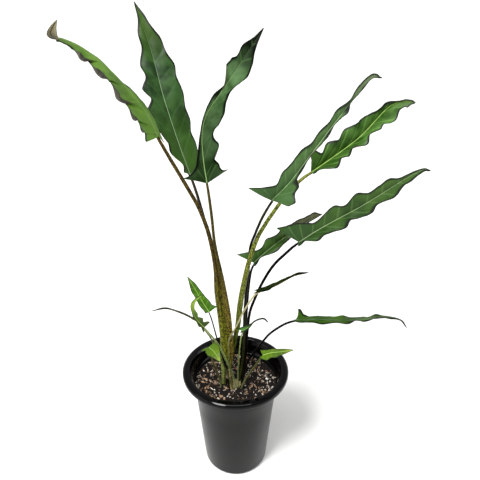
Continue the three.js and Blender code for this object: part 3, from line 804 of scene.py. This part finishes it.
def ring_ways(tangents):
    ways = []
    way = Vector((0, -1, 0))
    for tangent in tangents:
        way = (way - way.project(Vector(tangent))).normalized()
        ways.append(np.array(way))
    return np.array(ways)


def roll_tube(rows, sides, skin_relief):
    length = even_line(rows, 2)[1]
    steps = max(FEWEST_RINGS, round(length / RING_STEP))
    line = even_line(rows, steps + 1)[0]
    tangents = unit_rows(np.gradient(line[:, :3], axis=0))
    ways = ring_ways(tangents)
    others = np.cross(tangents, ways)
    bm = bmesh.new()
    bmesh.ops.create_grid(bm, x_segments=sides, y_segments=steps, size=0.5, matrix=HALF_UP)
    skin = bm.verts.layers.float_vector.new("skin")
    for vert in bm.verts:
        step = round(vert.co.y * steps)
        angle = math.tau * round(vert.co.x * sides) / sides
        radius = line[step, 3]
        run = step / steps * length
        x, y = math.cos(angle), math.sin(angle)
        vert[skin] = Vector((x * radius, y * radius, run))
        reach = radius * (1 + skin_relief(angle, run, run / length))
        vert.co = Vector(line[step, :3] + (ways[step] * x + others[step] * y) * reach)
    bmesh.ops.remove_doubles(bm, verts=bm.verts, dist=1e-4)
    rim = [edge for edge in bm.edges if edge.is_boundary]
    bmesh.ops.holes_fill(bm, edges=rim, sides=0)
    bmesh.ops.recalc_face_normals(bm, faces=bm.faces)
    return bm


test_tube = roll_tube([(0, 0, 0, 2), (0, 0, 50, 1)], 8, lambda angle, run, share: 0)
print("a short tube has", len(test_tube.faces), "faces")
test_tube.free()

# %% [markdown]
# A petiole is a fleshy stem with a waxy skin, so it has a soft sheen. It is pale at the foot, where the
# soil kept it from the light. Higher up it is mottled with small dark spots, and fine pale streaks run
# along it, much longer than wide. The attribute "skin" holds the place on the rolled tube in
# millimetres, round and along, so that spots and streaks follow each stem however it leans.

# %% Stalk material
# Heights in metres, as Object coordinates are.
FOOT_HEIGHTS = (0.162, 0.198)
STEM_HEIGHTS = (0.2, 0.36)


def stalk_skin(name, foot, low, high, spot, spot_cover, pale_streak, streak_show, gloss=0.2):
    material, tree, shader, place = start_material(name, 0.42, Specular_IOR_Level=gloss)
    skin = node(tree, "ShaderNodeAttribute", {"attribute_name": "skin"}, {}).outputs["Vector"]
    height = node(tree, "ShaderNodeSeparateXYZ", {}, {"Vector": place}).outputs["Z"]
    spots_at = node(tree, "ShaderNodeMapping", {}, {"Vector": skin, "Scale": (1.0, 1.0, 0.55)})
    spots = node(tree, "ShaderNodeTexNoise", {}, {
        "Vector": spots_at.outputs["Vector"], "Scale": 0.62, "Detail": 2.0}).outputs["Fac"]
    streaks_at = node(tree, "ShaderNodeMapping", {}, {"Vector": skin, "Scale": (1.0, 1.0, 0.02)})
    streaks = node(tree, "ShaderNodeTexNoise", {}, {
        "Vector": streaks_at.outputs["Vector"], "Scale": 0.9, "Detail": 4.0}).outputs["Fac"]
    stem = lay_colours(tree, low, [(height, *STEM_HEIGHTS, 0, 1, high)])
    spot_level = 0.64 - spot_cover * 0.3
    colour = lay_colours(tree, foot, [
        (height, *FOOT_HEIGHTS, 0, 1, stem),
        (spots, spot_level, spot_level + 0.08, 0, 0.9, spot),
        (streaks, 0.5, 0.68, 0, streak_show, pale_streak)])
    return end_material(material, shader, colour, streaks, 0.6, 0.4)


# Each row gives the colours of the foot, the low and high stem and the spots, how much the spots cover,
# the streaks' colour, how strongly they show, and the gloss if it isn't the usual one.
STALK_LOOKS = {
    "bronze": ("#b89c5e", "#848a22", "#4c3e14", "#12100a", 0.56, "#a88c54", 0.08, 0.05),
    "golden": ("#8a7c3a", "#86782c", "#463e10", "#161106", 0.6, "#9c8a40", 0.14, 0.06),
    "striped": ("#7c8a44", "#7a8a44", "#1f1913", "#1a1c0e", 0.45, "#a08c6c", 0.2, 0.1),
    "green": ("#535d1a", "#434f0d", "#72782a", "#232b0a", 0.6, "#98a048", 0.14, 0.1),
    "dark": ("#16160b", "#050404", "#080605", "#030202", 0.3, "#2c2620", 0.12, 0.04),
    "dusky": ("#3c401c", "#2c3014", "#080605", "#060603", 0.6, "#5c6034", 0.2, 0.06),
    "cream": ("#bca76c", "#5a5a24", "#a89f78", "#33301a", 0.3, "#d8d0ac", 0.6),
    "young": ("#8a9664", "#5f6d36", "#7c8b4e", "#3a421e", 0.3, "#bccb92", 0.55),
    "drab": ("#6a7240", "#44471e", "#53562b", "#201e0e", 0.4, "#a3a67a", 0.4),
}
STALK_SKINS = {kind: stalk_skin(kind + "_petiole_skin", *look) for kind, look in STALK_LOOKS.items()}
STALK_KINDS = {
    "01": "bronze", "02": "striped", "03": "golden", "04": "dusky", "05": "green", "06": "dark",
    "07": "dark", "08": "cream", "09": "dark", "10": "drab", "11": "dark", "12": "young",
    "13": "drab", "14": "drab", "15": "young",
}
print("stalk finishes:", len(STALK_SKINS))

# %% [markdown]
# The skin of a petiole isn't a true cylinder. It has shallow ribs, small swellings, and on the four
# oldest leaves the open edge of the sheath: a groove with a lip, which runs up from the base and closes.
# Each relief is a share of the stem's radius, and the groove's measures round the stem are in turns.

# %% Stalks
BLADE_THICKNESS = 1.2
GAP = 0.3
TUCK = 3.0
# Where each sheath's groove faces, in turns, and how far up the stalk it closes.
SHEATHS = {"01": (0.09, 0.62), "02": (0.95, 0.4), "03": (0.93, 0.6), "05": (0.94, 0.55)}
STEM_RIBS, RIB_RELIEF, RIB_TWIST = 7, 0.025, 60
SWELLING_RELIEF, SWELLING_LENGTH = 0.05, 7
GROOVE_DEPTH, GROOVE_WIDTH = 0.34, 0.045
SHEATH_LIP, LIP_OFF, LIP_WIDTH = 0.1, 0.085, 0.03
STOUT_RADIUS, STOUT_SIDES, THIN_SIDES = 2.5, 28, 18


def stalk_rows(leaf):
    spot, _, face, _ = leaf_frame(leaf, np.array([TUCK]))
    radius = leaf["stalk"][-1][3] * 0.8
    top = spot[0] - face[0] * (BLADE_THICKNESS / 2 + GAP + radius)
    return [*leaf["stalk"], (*top, radius)]


def stalk_relief(name):
    turn, close = SHEATHS.get(name, (0, 0))
    seed = int(name) * 3.7

    def relief(angle, run, share):
        ribs = RIB_RELIEF * math.sin(STEM_RIBS * angle + seed + run / RIB_TWIST)
        x, y = math.cos(angle) * 1.2, math.sin(angle) * 1.2
        swellings = SWELLING_RELIEF * noise.noise(Vector((x, y, run / SWELLING_LENGTH + seed)))
        opened = min(1, 3 * max(0.0, 1 - share / close)) if close else 0.0
        off = abs((angle / math.tau - turn + 0.5) % 1 - 0.5)
        groove = GROOVE_DEPTH * opened * math.exp(-((off / GROOVE_WIDTH) ** 2))
        lip = SHEATH_LIP * opened * math.exp(-(((off - LIP_OFF) / LIP_WIDTH) ** 2))
        return ribs + swellings - groove + lip

    return relief


for name, leaf in LEAVES.items():
    rows = stalk_rows(leaf)
    leaf["stalk_top"] = rows[-1][3]
    stout = max(row[3] for row in rows) > STOUT_RADIUS
    tube = roll_tube(rows, STOUT_SIDES if stout else THIN_SIDES, stalk_relief(name))
    skin = STALK_SKINS[STALK_KINDS[name]]
    finish_piece(tube, "stalk_" + name, [skin], "leaf_stalk", "petiole_" + name)

# %% [markdown]
# A blade is leathery and waxy. Seen from above it is deep green with a grey sheen, with a paler midrib,
# lateral veins that fan out from it, and a thin dark edge. No two leaves of the plant have quite the same
# green: old ones are dull, young ones pale, and some face away from the light. So each kind has a row.

# %% Colours of the upper faces
# Each row has the material's name, then the colours of the foot, the deep and the light patches, the tip,
# the veins, the midrib and the edge, how strongly the veins show, and what else isn't as usual.
UPPER_LOOKS = {
    "deep": (
        "waxy_deep_blade", "#35551a", "#122a0d", "#2f4e23", "#2e4a06", "#3e6034", "#7f9a70", "#060b04",
        0.2, {"tip_from": 0.62, "gloss": 0.14, "rib_to": 0.5}),
    # The mature leaf's deep and light patches are partly its own green and partly a painted sheen, so its
    # gloss is nearly none.
    "mature": (
        "mature_blade_with_painted_sheen", "#0e1c07", "#2c4822", "#57774b", "#060e04", "#5a7d48", "#7f9c60", "#060b04",
        0.2, {"tip_from": 0.62, "gloss": 0.03, "rib_to": 0.5, "foot_to": 0.6}),
    "fresh": (
        "waxy_fresh_blade", "#294a0e", "#1e3e08", "#446828", "#4a6a28", "#6a9644", "#95b45c", "#0a1206",
        0.45, {}),
    "muted": (
        "dull_green_blade", "#1f3b12", "#1d380b", "#324f17", "#3b5a20", "#56753f", "#8c9f76", "#0a1206",
        0.35, {}),
    "prone": (
        "dull_prone_blade", "#28480c", "#1f3c08", "#355312", "#2c4a08", "#4e6e2c", "#56753f", "#0a1206",
        0.25, {"gloss": 0.08}),
    "sage": (
        "bloomy_sage_blade", "#2f5122", "#304e22", "#4c6838", "#60724c", "#637f54", "#8aa478", "#0d140a",
        0.3, {}),
    "bright": (
        "waxy_bright_blade", "#4d7514", "#3c6012", "#587d26", "#66813e", "#648a2c", "#74904a", "#131d08",
        0.35, {}),
    "young": (
        "tender_young_blade", "#4a6812", "#3b540e", "#506a14", "#7a882a", "#728b36", "#8fae55", "#24340d",
        0.4, {"gloss": 0.12, "edge_mm": 1.0}),
    "lime": (
        "limp_yellow_blade", "#2a360c", "#3c5a10", "#587820", "#94b43a", "#7f9c3a", "#9cbb5c", "#28390d",
        0.3, {"tip_from": 0.36, "edge_mm": 0.8, "foot_to": 0.6}),
    "leafy": (
        "tender_leafy_blade", "#33560a", "#294b08", "#41680e", "#48661a", "#6c9c3a", "#8fae55", "#0c1706",
        0.4, {"gloss": 0.12, "edge_mm": 1.2}),
    "olive": (
        "dusky_olive_blade", "#161f0c", "#131b06", "#26330f", "#120f06", "#26300f", "#2a3016", "#040501",
        0.25, {"gloss": 0.0}),
    "worn": (
        "worn_brown_blade", "#2f5218", "#24400e", "#3a5a1c", "#45482c", "#56753f", "#8c9f76", "#0a1206",
        0.35, {"tip_from": 0.42}),
    "tailed": (
        "tailed_young_blade", "#3c6a24", "#2f5a1c", "#47772a", "#141808", "#5c8a3c", "#6f9450", "#141f0a",
        0.3, {"tip_from": 0.2, "rib_to": 0.25}),
}
UPPER_KINDS = {
    "01": "bright", "02": "deep", "03": "mature", "04": "sage", "05": "fresh", "06": "muted",
    "07": "worn", "08": "olive", "09": "prone", "10": "young", "11": "leafy", "12": "lime",
    "13": "olive", "14": "young", "15": "tailed",
}
print("kinds of upper face:", len(UPPER_LOOKS))

# %% [markdown]
# The green changes from the stalk to the tip and in patches about 22 mm wide, and the cells give it a
# grain of 1.6 mm, coarser than real so that it shows. The attribute "blade" holds three measures that the
# pattern needs: the distance from the midrib in half widths of it, the vein number, and the millimetres
# to the edge. "along" is the share of the way from the stalk to the tip. Veins drawn from these measures
# follow the blade however it bends.

# %% Upper face of a blade


def upper_skin(
        name, foot, deep, light, tip, vein, midrib, edge, vein_show, tip_from=0.68, gloss=0.2,
        edge_mm=2.4, rib_to=1.0, foot_to=0.42):
    material, tree, shader, place = start_material(name, 0.4, Specular_IOR_Level=gloss)
    blade = node(tree, "ShaderNodeAttribute", {"attribute_name": "blade"}, {}).outputs["Vector"]
    along = node(tree, "ShaderNodeAttribute", {"attribute_name": "along"}, {}).outputs["Fac"]
    parts = node(tree, "ShaderNodeSeparateXYZ", {}, {"Vector": blade}).outputs
    patches = node(tree, "ShaderNodeTexNoise", {}, {"Vector": place, "Scale": per_mm(22), "Detail": 3.0})
    cells = node(tree, "ShaderNodeTexNoise", {}, {"Vector": place, "Scale": per_mm(1.6), "Detail": 2.0})
    off_vein = node(tree, "ShaderNodeMath", {"operation": "PINGPONG"}, {0: parts["Y"], 1: 0.5})
    rib_share = node(tree, "ShaderNodeMapRange", {}, {
        "Value": along, "From Min": rib_to, "From Max": rib_to + 0.25, "To Min": 1.0, "To Max": 0.15})
    colour = lay_colours(tree, deep, [
        (patches.outputs["Fac"], 0.38, 0.62, 0, 1, light),
        (along, 0.1, foot_to, 0.8, 0, foot),
        (along, tip_from, tip_from + 0.25, 0, 1, tip),
        (off_vein.outputs["Value"], 0.02, 0.09, vein_show, 0, vein),
        (parts["X"], 0.6, 1.2, rib_share.outputs["Result"], 0, midrib),
        (parts["Z"], edge_mm / 2.2, edge_mm, 0.97, 0, edge)])
    return end_material(material, shader, colour, cells.outputs["Fac"], 0.35, 0.15)


UPPER_SKINS = {kind: upper_skin(*look, **more) for kind, (*look, more) in UPPER_LOOKS.items()}
print("upper faces:", [skin.name for skin in UPPER_SKINS.values()])

# %% [markdown]
# The underside is dull, greyer and browner, because it has no wax and its veins stand out. The bright
# leaf's underside is paler where its tip curls over, and darker elsewhere as painted shade on its
# curled margins. The limp leaf's is yellow all over. The cut edge between the two faces is a thin dark
# line all round.

# %% Underside and edge


def under_skin(name, low, high, tip, vein):
    material, tree, shader, place = start_material(name, 0.65, Specular_IOR_Level=0.3)
    blade = node(tree, "ShaderNodeAttribute", {"attribute_name": "blade"}, {}).outputs["Vector"]
    along = node(tree, "ShaderNodeAttribute", {"attribute_name": "along"}, {}).outputs["Fac"]
    vein_number = node(tree, "ShaderNodeSeparateXYZ", {}, {"Vector": blade}).outputs["Y"]
    patches = node(tree, "ShaderNodeTexNoise", {}, {
        "Vector": place, "Scale": per_mm(9), "Detail": 4.0}).outputs["Fac"]
    off_vein = node(tree, "ShaderNodeMath", {"operation": "PINGPONG"}, {0: vein_number, 1: 0.5})
    colour = lay_colours(tree, low, [
        (patches, 0, 1, 0, 1, high), (along, 0.86, 0.93, 0, 1, tip),
        (off_vein.outputs["Value"], 0.02, 0.1, 0.6, 0, vein)])
    return end_material(material, shader, colour, patches, 0.4, 0.3)


def edge_skin():
    material, tree, shader, place = start_material("hard_blade_margin", 0.5, Specular_IOR_Level=0.3)
    tone = node(tree, "ShaderNodeTexNoise", {}, {"Vector": place, "Scale": per_mm(6)}).outputs["Fac"]
    return end_material(material, shader, lay_colours(tree, "#050704", [(tone, 0, 1, 0, 1, "#12160a")]))


plain_underside = under_skin("dull_blade_underside", "#2b291b", "#4a4632", "#4a4632", "#5a553e")
UNDERSIDES = {
    # Leaf 01's underside colours are painted darker, as shade on its curled margins.
    "01": under_skin("shaded_pale_tipped_underside", "#201e15", "#3a3625", "#7a7458", "#4c4731"),
    "12": under_skin("limp_yellow_underside", "#5a6e1e", "#8aa034", "#8aa034", "#a0b050"),
}
margin = edge_skin()
print("back and edge:", plain_underside.name, margin.name)

# %% [markdown]
# The margin of each blade waves in and out and up and down. Each wave table lists, from the stalk to the
# tip, the share of the length, how far the margin stands out, and how far it lifts, both in millimetres.
# The left margin comes first. Noise would give waves too, but not those of this plant.

# %% Waves of the margins
WAVES = {
    "01": [
        [(.03, 2, 0), (.09, -1, 1), (.15, 13, 14), (.20, -2, 0), (.27, 20, 20), (.335, -4, 0),
         (.42, 25, 24), (.49, -5, 0), (.57, 26, 25), (.64, -4, 0), (.70, 21, 21), (.76, -1, 0),
         (.87, 3, 0), (.93, 1, 0)],
        [(.10, 0, 1), (.28, 0, 2), (.45, -1, -1.5), (.62, -2, 0), (.8, 0, -1)]],
    "02": [
        [(.05, -2, 1), (.13, 4.5, -1), (.20, 0, 2), (.38, 3.5, -2.5), (.44, -5.5, 3), (.50, 1.5, -2.5),
         (.57, -3.5, 2.5), (.65, 1.5, -2), (.74, -1, 2), (.83, 1.5, -1), (.91, -1, 0)],
        [(.17, 2.5, -2), (.23, -2, 2), (.29, 2, -2), (.36, -2, 2.5), (.46, 2, -2.5), (.55, -2, 2.5),
         (.62, 1.5, -2), (.69, -2, 2), (.77, .5, -1.5), (.83, -1, 1), (.92, 0, 0)]],
    "03": [
        [(.04, 5, 0), (.10, 0, 0), (.38, -1.4, 1), (.50, 0, 0), (.64, -6, -2), (.685, 3.5, 3),
         (.735, 2, 3.5), (.79, -.5, -1), (.84, 1.4, 1.5), (.93, -1, 0)],
        [(.04, 0, 0), (.09, -1, 1.5), (.14, -7.5, 3), (.22, 3, -2.5), (.29, -7.5, 3.5), (.385, 3.7, -3),
         (.45, 2.5, -1), (.53, -2, 1.5), (.59, -3.5, 2.5), (.71, 3.2, -2), (.77, 2.5, 1), (.86, -.3, -1),
         (.93, 0, 0)]],
    "04": [
        [(0, 2.5, 0), (.04, 2.5, 1), (.10, -1, 1), (.18, 1.5, -1.5), (.27, .3, 1), (.36, 1.2, -1),
         (.46, -.6, 1.5), (.53, .7, -1), (.60, -.6, 1), (.68, 2.4, -1.5), (.77, -1.5, 2), (.86, .6, -1),
         (.95, 2, 0)],
        [(.06, 0, 0), (.114, 6, 2), (.135, 0, -1), (.187, 3, -2), (.205, -2, 0), (.27, -.3, .5),
         (.38, -2, 1.5), (.53, .7, -1), (.62, -1.8, 1), (.71, 2.6, -1), (.77, -2, 1), (.86, 0, -.5),
         (.93, -.9, 0)]],
    "05": [
        [(.04, 3, 0), (.085, 6, -1), (.125, -3.5, 3), (.20, 1, -2.5), (.27, -3, 3), (.36, 2, -3),
         (.47, -.6, 2), (.52, 1, -1.5), (.65, -1.8, 1.5), (.71, .3, -1), (.80, -1, 1), (.90, 0, 0),
         (.95, 1, 0)],
        [(.03, -4, 0), (.12, 8, -3), (.21, -.5, 2), (.24, 1, -1.5), (.32, -5, 3.5), (.41, .8, -3),
         (.46, -3, 3), (.53, 1, -1), (.57, 0, 1.5), (.635, 7.5, -3), (.71, 3, 1.5), (.78, 1.5, -1),
         (.90, 0, 0)]],
    "06": [
        [(.03, 1, 0), (.17, -3.5, 2.5), (.33, 2, -2.5), (.41, -1.5, 2.5), (.51, 3, -2.5), (.595, -1, 2),
         (.66, -.6, -1), (.74, 1.6, -1), (.81, -1.5, 1.5), (.89, -1, 0)],
        [(0, 2, 0), (.05, -2, 0), (.14, 4.5, -2.5), (.22, .5, 2), (.27, -.5, 2), (.35, 2, -2.5),
         (.41, -1.7, 2.5), (.53, 2.4, -2.5), (.60, -1.5, 2.5), (.70, 1.2, -2), (.80, -2.3, 2),
         (.84, -.5, -1), (.92, 0, 0)]],
    "07": [
        [(.17, -2.3, 2), (.29, 3.3, -2.5), (.41, 0, 2), (.5, .8, -1.5), (.62, -.3, 1.5), (.72, -.4, -1),
         (.82, 0, 1), (.92, 2.2, 0)],
        [(0, 3, 0), (.09, -1.8, 1), (.27, 1, -2), (.42, 0, 1.5), (.58, .3, -1.5), (.72, 0, 1),
         (.85, 0, 0)]],
    "08": [
        [(.2, .5, -1), (.4, -.5, 1), (.6, .5, -1), (.8, -.3, 1)],
        [(.2, .5, -1), (.4, -.5, 1), (.6, .5, -1), (.8, -.3, 1)]],
    "09": [
        [(0, 1, 10), (.05, -1, 3), (.1, -1, 0), (.36, 0, 0), (.42, .5, 1.6), (.48, -.5, 0),
         (.62, 0, .3), (.7, 1, 3), (.76, 0, .5), (.84, -1, 0), (.9, 0, 0)],
        [(.12, 0, -1), (.25, 1, -2), (.40, 0, 1), (.5, 1, -1.5), (.56, -1, 1.5), (.62, 1, -1.5),
         (.74, 0, 1), (.84, 1, -1.5), (.93, 0, 0)]],
    "10": [[], [(.1, .3, 0), (.3, -.3, .5), (.45, .3, -.5), (.6, -.3, .5), (.75, .2, 0)]],
    "11": [
        [(.2, .3, -.5), (.45, -.4, .7), (.62, .7, -.5), (.8, 0, 0)],
        [(.2, 0, -.5), (.5, -.2, .7), (.75, 0, 0)]],
    "12": [
        [(0, 1, 0), (.07, -1, 0), (.14, 2, 0), (.24, -1.5, 0), (.33, 0, 0), (.45, -1.5, 0), (.75, -1.5, 0),
         (.9, 0, 0)],
        [(0, 2, 0), (.08, -2, 0), (.16, 1.5, 0), (.27, -1.5, 0), (.36, .5, 0), (.5, -1, 0),
         (.75, -1, 0), (.9, 0, 0)]],
    "14": [
        [(.05, -1, 1.5), (.3, .3, -.5), (.6, -.3, .5)],
        [(0, 3, -1), (.06, 0, 0), (.12, -2.5, 1.5), (.25, -1, -.5), (.4, .5, 0), (.6, -.3, .5)]],
}
print("leaves with waves:", len(WAVES))

# %% [markdown]
# Between two rows of its table the margin eases from one to the next along a cosine, so it has no kink at
# a row and never swings past one, as a spline would.

# %% Read the waves


def wave_at(rows, share):
    start = [] if rows and rows[0][0] == 0 else [(0, 0, 0)]
    table = np.array([*start, *rows, (1, 0, 0)])
    share = np.clip(share, 0, 1)
    step = np.clip(np.searchsorted(table[:, 0], share, side="right") - 1, 0, len(table) - 2)
    f = (share - table[step, 0]) / (table[step + 1, 0] - table[step, 0])
    ease = (0.5 - 0.5 * np.cos(math.pi * f))[:, None]
    return table[step, 1:] * (1 - ease) + table[step + 1, 1:] * ease


print("leaf 02's left margin at 0.44:", wave_at(WAVES["02"][0], np.array([0.44]))[0])

# %% [markdown]
# A blade starts as a flat grid. Its columns run from the left margin over the midrib to the right one,
# and its rows follow the lateral veins, which leave the midrib and sweep towards the margin. The flat
# shape comes first: how far out and how far along each grid point lies.

# %% Flat shape of a blade
VEIN_BACK = 2.0
VEIN_SWEEP = 1.15
LOBE_SHARE = 0.14
TIP_HALF_WIDTH = 0.6
OUTLINE_POINTS = 801


def flat_blade(leaf, name, side, out, row):
    back_lobe = leaf["lobes"][side]
    widths = [(width, share * leaf["length"]) for width, share in zip(leaf["halves"][side], WIDTH_SHARES)]
    outline = [(back_lobe[0], -back_lobe[1]), *widths, (TIP_HALF_WIDTH, leaf["length"])]
    line = even_line(outline, OUTLINE_POINTS, measured=2)[0]
    edge_x, edge_y = read_rows(line, row).T
    wave = wave_at(WAVES.get(name, [[], []])[side], edge_y / leaf["length"])
    edge_x = np.maximum(edge_x + wave[:, 0], TIP_HALF_WIDTH)
    beyond = np.maximum(row - LOBE_SHARE, 0) / (1 - LOBE_SHARE)
    in_lobe = VEIN_BACK * (row / LOBE_SHARE - 1)
    vein_y = np.where(row < LOBE_SHARE, in_lobe, leaf["length"] * beyond ** VEIN_SWEEP)
    return edge_x * out, vein_y * (1 - out) + edge_y * out, edge_x, wave[:, 1]


print("leaf 05's right half at mid length:", [
    round(float(v[0]), 1) for v in flat_blade(LEAVES["05"], "05", 1, np.array([1.0]), np.array([0.5]))])

# %% [markdown]
# Then the relief. The margin lifts with its waves, each half arches a little, the midrib lies in a
# channel, and the leaf puffs up between its veins like a quilt. The relief is added square to the half.
# The whole blade also puckers a little, up and down, but not at the stalk and the midrib, where it is
# stiff.

# %% Relief of a blade
VEIN_COUNTS = {"01": 10, "02": 11, "03": 11, "04": 11, "05": 11, "06": 11, "07": 9, "09": 10}
FEW_VEINS = 7
RIB_SHARE, RIB_AT_TIP, RIB_TAPER = 0.3, 0.2, 0.8
CHANNEL_DEPTH, CHANNEL_WIDTH = 0.9, 1.6
PUFF, ARCH = 0.034, 0.05
LIFT_CURL = 3
# Each row is the size of a pucker and how high it rises.
PUCKERS = [(9, 0.9), (24, 2.8)]
STIFF_LENGTH, STIFF_WIDTH = 22.0, 9.0


def rib_half_width(leaf, along):
    share = np.clip(along / leaf["length"], 0, 1)
    return RIB_AT_TIP + leaf["stalk_top"] * leaf.get("rib", RIB_SHARE) * (1 - share) ** RIB_TAPER


def pucker(places, x, along):
    rises = [sum(noise.noise(Vector(p) / size) * rise for size, rise in PUCKERS) for p in places]
    return np.array(rises) * np.clip(along / STIFF_LENGTH, 0, 1) * np.clip(x / STIFF_WIDTH, 0, 1)


def blade_relief(leaf, x, along, out, vein, lift):
    rib = rib_half_width(leaf, along)
    half_width = np.maximum(x / np.maximum(out, 1e-3), 1.0)
    off_vein = np.abs((vein + 0.5) % 1 - 0.5) * 2
    swell = np.sin(math.pi * np.clip(out, 0, 1))
    puff = PUFF * half_width * off_vein ** 0.5 * swell ** 0.7
    arch = ARCH * half_width * swell
    channel = -CHANNEL_DEPTH * rib * np.exp(-(x / rib / CHANNEL_WIDTH) ** 2)
    return lift * out ** leaf.get("curl", LIFT_CURL) + puff + arch + channel


print("leaf 02's midrib is", round(2 * rib_half_width(LEAVES["02"], 0), 1), "mm wide at the stalk")

# %% [markdown]
# Each half of the blade is now laid along the midrib: outwards by its fold, and up by its relief. The
# same pass writes down the measures that the materials read. The points go through as one table, because
# a blade has thousands of them.

# %% Bend a blade


def bend_blade(leaf, name, across, row, veins):
    places = np.zeros((len(across), 3))
    marks = np.zeros((len(across), 3))
    shares = np.zeros(len(across))
    for side, sign in ((0, -1), (1, 1)):
        mine = across < 0 if side == 0 else across >= 0
        out = np.abs(across[mine])
        x, y, edge_x, lift = flat_blade(leaf, name, side, out, row[mine])
        vein = row[mine] * veins
        relief = blade_relief(leaf, x, y, out, vein, lift)
        spot, _, face, right = leaf_frame(leaf, y)
        fold = math.radians(leaf["folds"][side])
        outward = right * sign * math.cos(fold) + face * math.sin(fold)
        up = face * math.cos(fold) - right * sign * math.sin(fold)
        laid = spot + outward * x[:, None] + up * relief[:, None]
        laid[:, 2] += pucker(laid, x, y)
        places[mine] = laid
        marks[mine] = np.column_stack([x / rib_half_width(leaf, y), vein, edge_x * (1 - out)])
        shares[mine] = np.clip(y / leaf["length"], 0, 1)
    return places, marks, shares


margins = bend_blade(LEAVES["02"], "02", np.array([-1.0, 1.0]), np.array([0.5, 0.5]), 11)[0]
print("leaf 02's margins at mid length:", [[round(float(v)) for v in at] for at in margins])

# %% [markdown]
# Each blade is bent from its grid, and a Solidify modifier gives it both faces and an edge, each with its
# own material. Under it runs the midrib, a cord that tapers from the stalk to the tip.

# %% Blades and midribs
LAMINA_THICKNESS = 0.6
ROWS_PER_VEIN = 12
HALF_COLUMNS = 18
MIDRIB_START, MIDRIB_END, MIDRIB_POINTS = -1.5, 0.985, 24
MIDRIB_TIP, MIDRIB_TAPER, MIDRIB_SIDES = 0.3, 1.1, 10
MIDRIB_SUNK = 0.85
MIDRIB_RIBS, MIDRIB_RELIEF, MIDRIB_TWIST = 3, 0.02, 9


def make_lamina(name, leaf):
    veins = VEIN_COUNTS.get(name, FEW_VEINS)
    rows = veins * ROWS_PER_VEIN
    bm = bmesh.new()
    bmesh.ops.create_grid(bm, x_segments=2 * HALF_COLUMNS, y_segments=rows, size=0.5, matrix=HALF_UP)
    blade = bm.verts.layers.float_vector.new("blade")
    along = bm.verts.layers.float.new("along")
    across = np.array([round(v.co.x * 2 * HALF_COLUMNS) / HALF_COLUMNS - 1 for v in bm.verts])
    row = np.array([round(v.co.y * rows) / rows for v in bm.verts])
    places, marks, shares = bend_blade(leaf, name, across, row, veins)
    for vert, place, mark, share in zip(bm.verts, places, marks, shares):
        vert.co = Vector(place)
        vert[blade] = Vector(mark)
        vert[along] = share
    skins = [UPPER_SKINS[UPPER_KINDS[name]], UNDERSIDES.get(name, plain_underside), margin]
    made = finish_piece(bm, "lamina_" + name, skins, "leaf_blade", "blade_" + name)
    wall = made.modifiers.new("thickness", "SOLIDIFY")
    wall.thickness = LAMINA_THICKNESS * MM
    wall.offset = -1
    wall.material_offset = 1
    wall.material_offset_rim = 2


def make_midrib(name, leaf):
    along = np.linspace(MIDRIB_START, leaf["length"] * MIDRIB_END, MIDRIB_POINTS)
    spot, _, face, _ = leaf_frame(leaf, along)
    share = np.clip(along / leaf["length"], 0, 1)
    radius = MIDRIB_TIP + (leaf["stalk_top"] - MIDRIB_TIP) * (1 - share) ** MIDRIB_TAPER
    drop = LAMINA_THICKNESS / 2 + CHANNEL_DEPTH * rib_half_width(leaf, along) + radius * MIDRIB_SUNK
    rows = np.column_stack([spot - face * drop[:, None], radius])
    tube = roll_tube(rows, MIDRIB_SIDES, lambda angle, run, share: (
        MIDRIB_RELIEF * math.sin(MIDRIB_RIBS * angle + run / MIDRIB_TWIST)))
    finish_piece(tube, "midrib_" + name, [STALK_SKINS[STALK_KINDS[name]]], "leaf_stalk")


for name, leaf in LEAVES.items():
    make_lamina(name, leaf)
    make_midrib(name, leaf)
